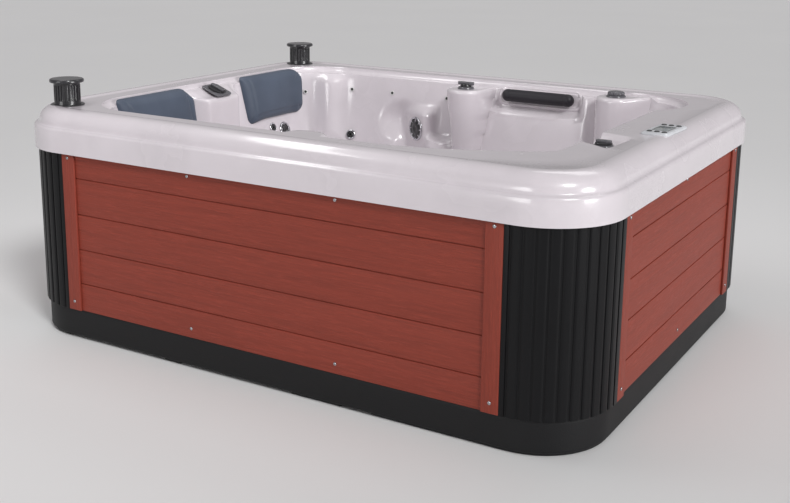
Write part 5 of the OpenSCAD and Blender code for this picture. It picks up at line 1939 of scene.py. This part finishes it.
class TUB_OT_lever_valve(bpy.types.Operator):
    """Turn the lever valve's collar and shape its handle"""

    bl_idname = "tub.lever_valve"
    bl_label = "Lever valve"

    HUB = (
        (0, -8), (8, -8), (8, 0), (22, 0), (23, 1), (22.6, 3), (20.4, 9.6), (18.4, 11.6),
        (15, 12.2), (0, 12.4),
    )

    def execute(self, context):
        place = collar("lever_valve_collar", LEVER_VALVE, 66, 8, "lever_collar")
        form = Form()
        form.turned(self.HUB, "black", place, n=64)
        form.grip(71, 17, 6, 20, 3.2, "smoke", place)
        settle(form.build("lever_valve_handle"), "lever_handle", "lever_handle", sharp=34)
        return {"FINISHED"}


class TUB_OT_round_valve(bpy.types.Operator):
    """Turn the round valve's collar and its fluted knob"""

    bl_idname = "tub.round_valve"
    bl_label = "Round valve"

    # The knob's outline as (radius, height, depth of the flutes as a share of the full depth)
    KNOB = (
        (4, 0, 0), (29.5, 0, 1), (31.2, 0.6, 1), (32, 2, 1), (32.2, 8, 1), (31.4, 10.4, 1),
        (29.6, 12, 0.7), (27.2, 13.2, 0.3), (22, 14.6, 0), (14, 15.6, 0), (4, 16, 0), (0.2, 16, 0),
    )
    FLUTES, FLUTE_DEPTH = 12, 2.6

    def execute(self, context):
        place = collar("round_valve_collar", ROUND_VALVE, 75, 6, "round_collar")
        form = Form()
        form.turned(((0, -6), (8, -6), (8, 1), (0, 1)), "smoke", place, n=32)
        rings = []
        for r, z, flute in self.KNOB:
            ring = []
            for k in range(144):
                a = 2 * math.pi * k / 144
                dent = self.FLUTE_DEPTH * flute * max(0.0, math.cos(self.FLUTES * a)) ** 3
                ring.append(((r - dent) * math.cos(a), (r - dent) * math.sin(a), z))
            rings.append(ring)
        form.loft(rings, "smoke", place)
        settle(form.build("round_valve_knob"), "round_knob", "round_knob", sharp=40)
        return {"FINISHED"}


class TUB_OT_air_control(bpy.types.Operator):
    """Turn the air control's collar and shape its grip"""

    bl_idname = "tub.air_control"
    bl_label = "Air control"

    HUB = ((0, -5), (8, -5), (8, 0), (26, 0), (27, 0.9), (26.6, 4.2), (25.4, 5.4), (0, 5.8))

    def execute(self, context):
        place = collar("air_control_collar", AIR_CONTROL, 64, 5, "air_collar")
        form = Form()
        form.turned(self.HUB, "black", place, n=72)
        form.grip(51, 15, 4, 14, 2.4, "smoke", place)
        settle(form.build("air_control_grip"), "air_knob", "air_knob", sharp=34)
        return {"FINISHED"}


class TUB_OT_large_jets(bpy.types.Operator):
    """Turn the foot jet and the four seat jets; their ports repeat by geometry nodes"""

    bl_idname = "tub.large_jets"
    bl_label = "Large jets"

    def execute(self, context):
        self.jet("foot_jet_face", 101.0, 52.0, 8)
        for k in (1, 2, 3, 4):
            self.jet(f"seat_jet_face_{k}", 69.0, 36.0, 4)
        return {"FINISHED"}

    def jet(self, node, d, neck, ports):
        spot, axis = joint(node)
        place = facing(spot, axis)
        r, n = d / 2, neck / 2
        ring = (
            (0, -24), (n - 0.2, -24), (n, -22), (n, 0.6), (r - 1.2, 0.8), (r, 1.8), (r - 0.4, 3.2),
            (r - 2.4, 5.2), (r - 4.6, 5.8), (r - 7, 5.2), (r - 8, 3.6), (r - 8.6, 2.2),
        )
        bowl = (
            (r - 8.6, 2.2), (r - 10, 1.4), (r * 0.62, 0.9), (r * 0.58, 1.6), (r * 0.54, 3.4),
            (r * 0.48, 4.4), (r * 0.26, 4.8), (r * 0.22, 4.4), (r * 0.18, 2.4), (0, 2.0),
        )
        form = Form()
        form.turned(ring, "chrome", place, n=96, open_top=True)
        form.dish(bowl, "black", place, 96)
        face = form.build(node + "_ring")
        low, high = r * 0.60, r - 8.2
        wide = 2.0 if ports > 4 else 2.6
        bar = Form()
        mid = moved((low + high) / 2, 0)
        bar.plate((high - low) / 2, wide, 1.2, 1.0, 4.4, 0.8, "chrome", mid)
        spokes = turned_copies(bar, ports, 2 * math.pi / ports, (0, 0), "chrome")
        shift = place.copy()
        shift.translation *= MM
        spokes.data.transform(shift)
        settle(joined(face, spokes), node, node, sharp=34)


class TUB_OT_small_jets(bpy.types.Operator):
    """Set the small neck and back jets and the air injectors, by geometry nodes"""

    bl_idname = "tub.small_jets"
    bl_label = "Small jets"

    # Outlines as (radius, height): a ring with its neck, and the bowl in it
    JET = (
        (0, -35), (11.9, -35), (12, -34), (12, -4.4), (19.6, -4.2), (21, -3.4), (20.6, -1.8),
        (19, -0.4), (17.4, 0), (15.6, -0.6), (15, -2),
    )
    JET_BOWL = (
        (15, -2), (14.6, -3), (10, -3.2), (8.6, -1.6), (6.4, -0.8), (4.6, -1.2), (4, -4), (4, -12),
        (0, -12),
    )
    INJECTOR = (
        (0, -25), (4.9, -25), (5, -3), (8.9, -2.9), (9.5, -2.2), (9.1, -0.8), (7.9, 0),
        (6.4, -0.3), (5.9, -1.2),
    )
    INJECTOR_BOWL = ((5.9, -1.2), (4.6, -1.6), (3.2, -1.0), (2.2, -1.4), (2, -6), (0, -6))

    def execute(self, context):
        jet, injector = (self.JET, self.JET_BOWL), (self.INJECTOR, self.INJECTOR_BOWL)
        self.set_fittings("small_jets", "small_jet_rings", *jet, "chrome", 48)
        self.set_fittings("air_injectors", "injector_rings", *injector, "white", 36)
        return {"FINISHED"}

    def set_fittings(self, node, name, ring, bowl, look, n):
        form = Form()
        form.turned(ring, look, n=n, open_top=True)
        form.dish(bowl, "black", None, n)
        form.inner_look = "black"
        fittings = set_on(form.build(name), turned_places(node), look, "black")
        settle(fittings, "tub", node, sharp=34)


class TUB_OT_footwell(bpy.types.Operator):
    """Make the suction covers, the drain and the underwater light"""

    bl_idname = "tub.footwell"
    bl_label = "Footwell fittings"

    def execute(self, context):
        dressed("suction_covers", "suction_grilles", "white", edge=0.8)
        dressed("floor_drain", "drain_grille", "chrome", edge=0.5)
        dressed("light_body", "light_housing", "grey", edge=0.8)
        dressed("light_lens", "light_cover", "lens", edge=1.2)
        return {"FINISHED"}


class TUB_OT_skimmer(bpy.types.Operator):
    """Dress the skimmer's frame, its weir flap and the filter"""

    bl_idname = "tub.skimmer"
    bl_label = "Skimmer and filter"

    def execute(self, context):
        dressed("skimmer_frame", "skimmer_mouth", "white", edge=1.4)
        dressed("skimmer_weir", "weir_flap", "white", body="skimmer_weir", edge=0.8)
        dressed("filter_canister", "filter_housing", "grey", edge=3.0)
        return {"FINISHED"}


class TUB_OT_equipment(bpy.types.Operator):
    """Dress the pump, heater, control box and blower"""

    bl_idname = "tub.equipment"
    bl_label = "Pump bay"

    def execute(self, context):
        dressed("pump_motor", "pump_motor_case", "motor", edge=3.0)
        dressed("pump_wet_end", "pump_volute", "grey", edge=2.0)
        dressed("heater", "heater_tube", "steel", edge=1.5)
        dressed("control_box", "control_case", "silver", edge=3.0)
        dressed("air_blower", "blower_case", "grey", edge=3.0)
        return {"FINISHED"}


class TUB_OT_pipework(bpy.types.Operator):
    """Dress the pipe loop, the hoses, the jet bodies and the drain pipe"""

    bl_idname = "tub.pipework"
    bl_label = "Pipework"

    def execute(self, context):
        dressed("water_pipes", "pipe_loop", "white")
        dressed("jet_hoses", "hose_runs", "hose")
        dressed("jet_bodies", "jet_housings", "grey", edge=0.8)
        dressed("drain_pipe", "drain_line", "white", edge=1.0)
        return {"FINISHED"}


STEPS = (
    TUB_OT_stage, TUB_OT_shell, TUB_OT_panels, TUB_OT_battens, TUB_OT_corner_covers, TUB_OT_screws,
    TUB_OT_base_pan, TUB_OT_frame, TUB_OT_pillows, TUB_OT_bolster, TUB_OT_speakers,
    TUB_OT_control_panel, TUB_OT_diverter, TUB_OT_lever_valve, TUB_OT_round_valve,
    TUB_OT_air_control, TUB_OT_large_jets, TUB_OT_small_jets, TUB_OT_footwell, TUB_OT_skimmer,
    TUB_OT_equipment, TUB_OT_pipework,
)


class TUB_PT_hot_tub(bpy.types.Panel):
    """Lists the sizes, the colours and the steps that make the hot tub"""

    bl_idname = "TUB_PT_hot_tub"
    bl_label = "Hot tub"
    bl_space_type = "VIEW_3D"
    bl_region_type = "UI"
    bl_category = "Hot tub"

    def draw(self, context):
        layout = self.layout
        for group in (context.scene.tub_sizes, context.scene.tub_colours):
            box = layout.box()
            for key in group.__annotations__:
                box.prop(group, key)
        for step in STEPS:
            layout.operator(step.bl_idname)


CLASSES = (TubSizes, TubColours, *STEPS, TUB_PT_hot_tub)


def register():
    for cls in CLASSES:
        bpy.utils.register_class(cls)
    bpy.types.Scene.tub_sizes = bpy.props.PointerProperty(type=TubSizes)
    bpy.types.Scene.tub_colours = bpy.props.PointerProperty(type=TubColours)


def unregister():
    del bpy.types.Scene.tub_sizes
    del bpy.types.Scene.tub_colours
    for cls in reversed(CLASSES):
        bpy.utils.unregister_class(cls)


def main():
    register()
    for step in STEPS:
        group, name = step.bl_idname.split(".")
        getattr(getattr(bpy.ops, group), name)()


if __name__ == "__main__":
    main()
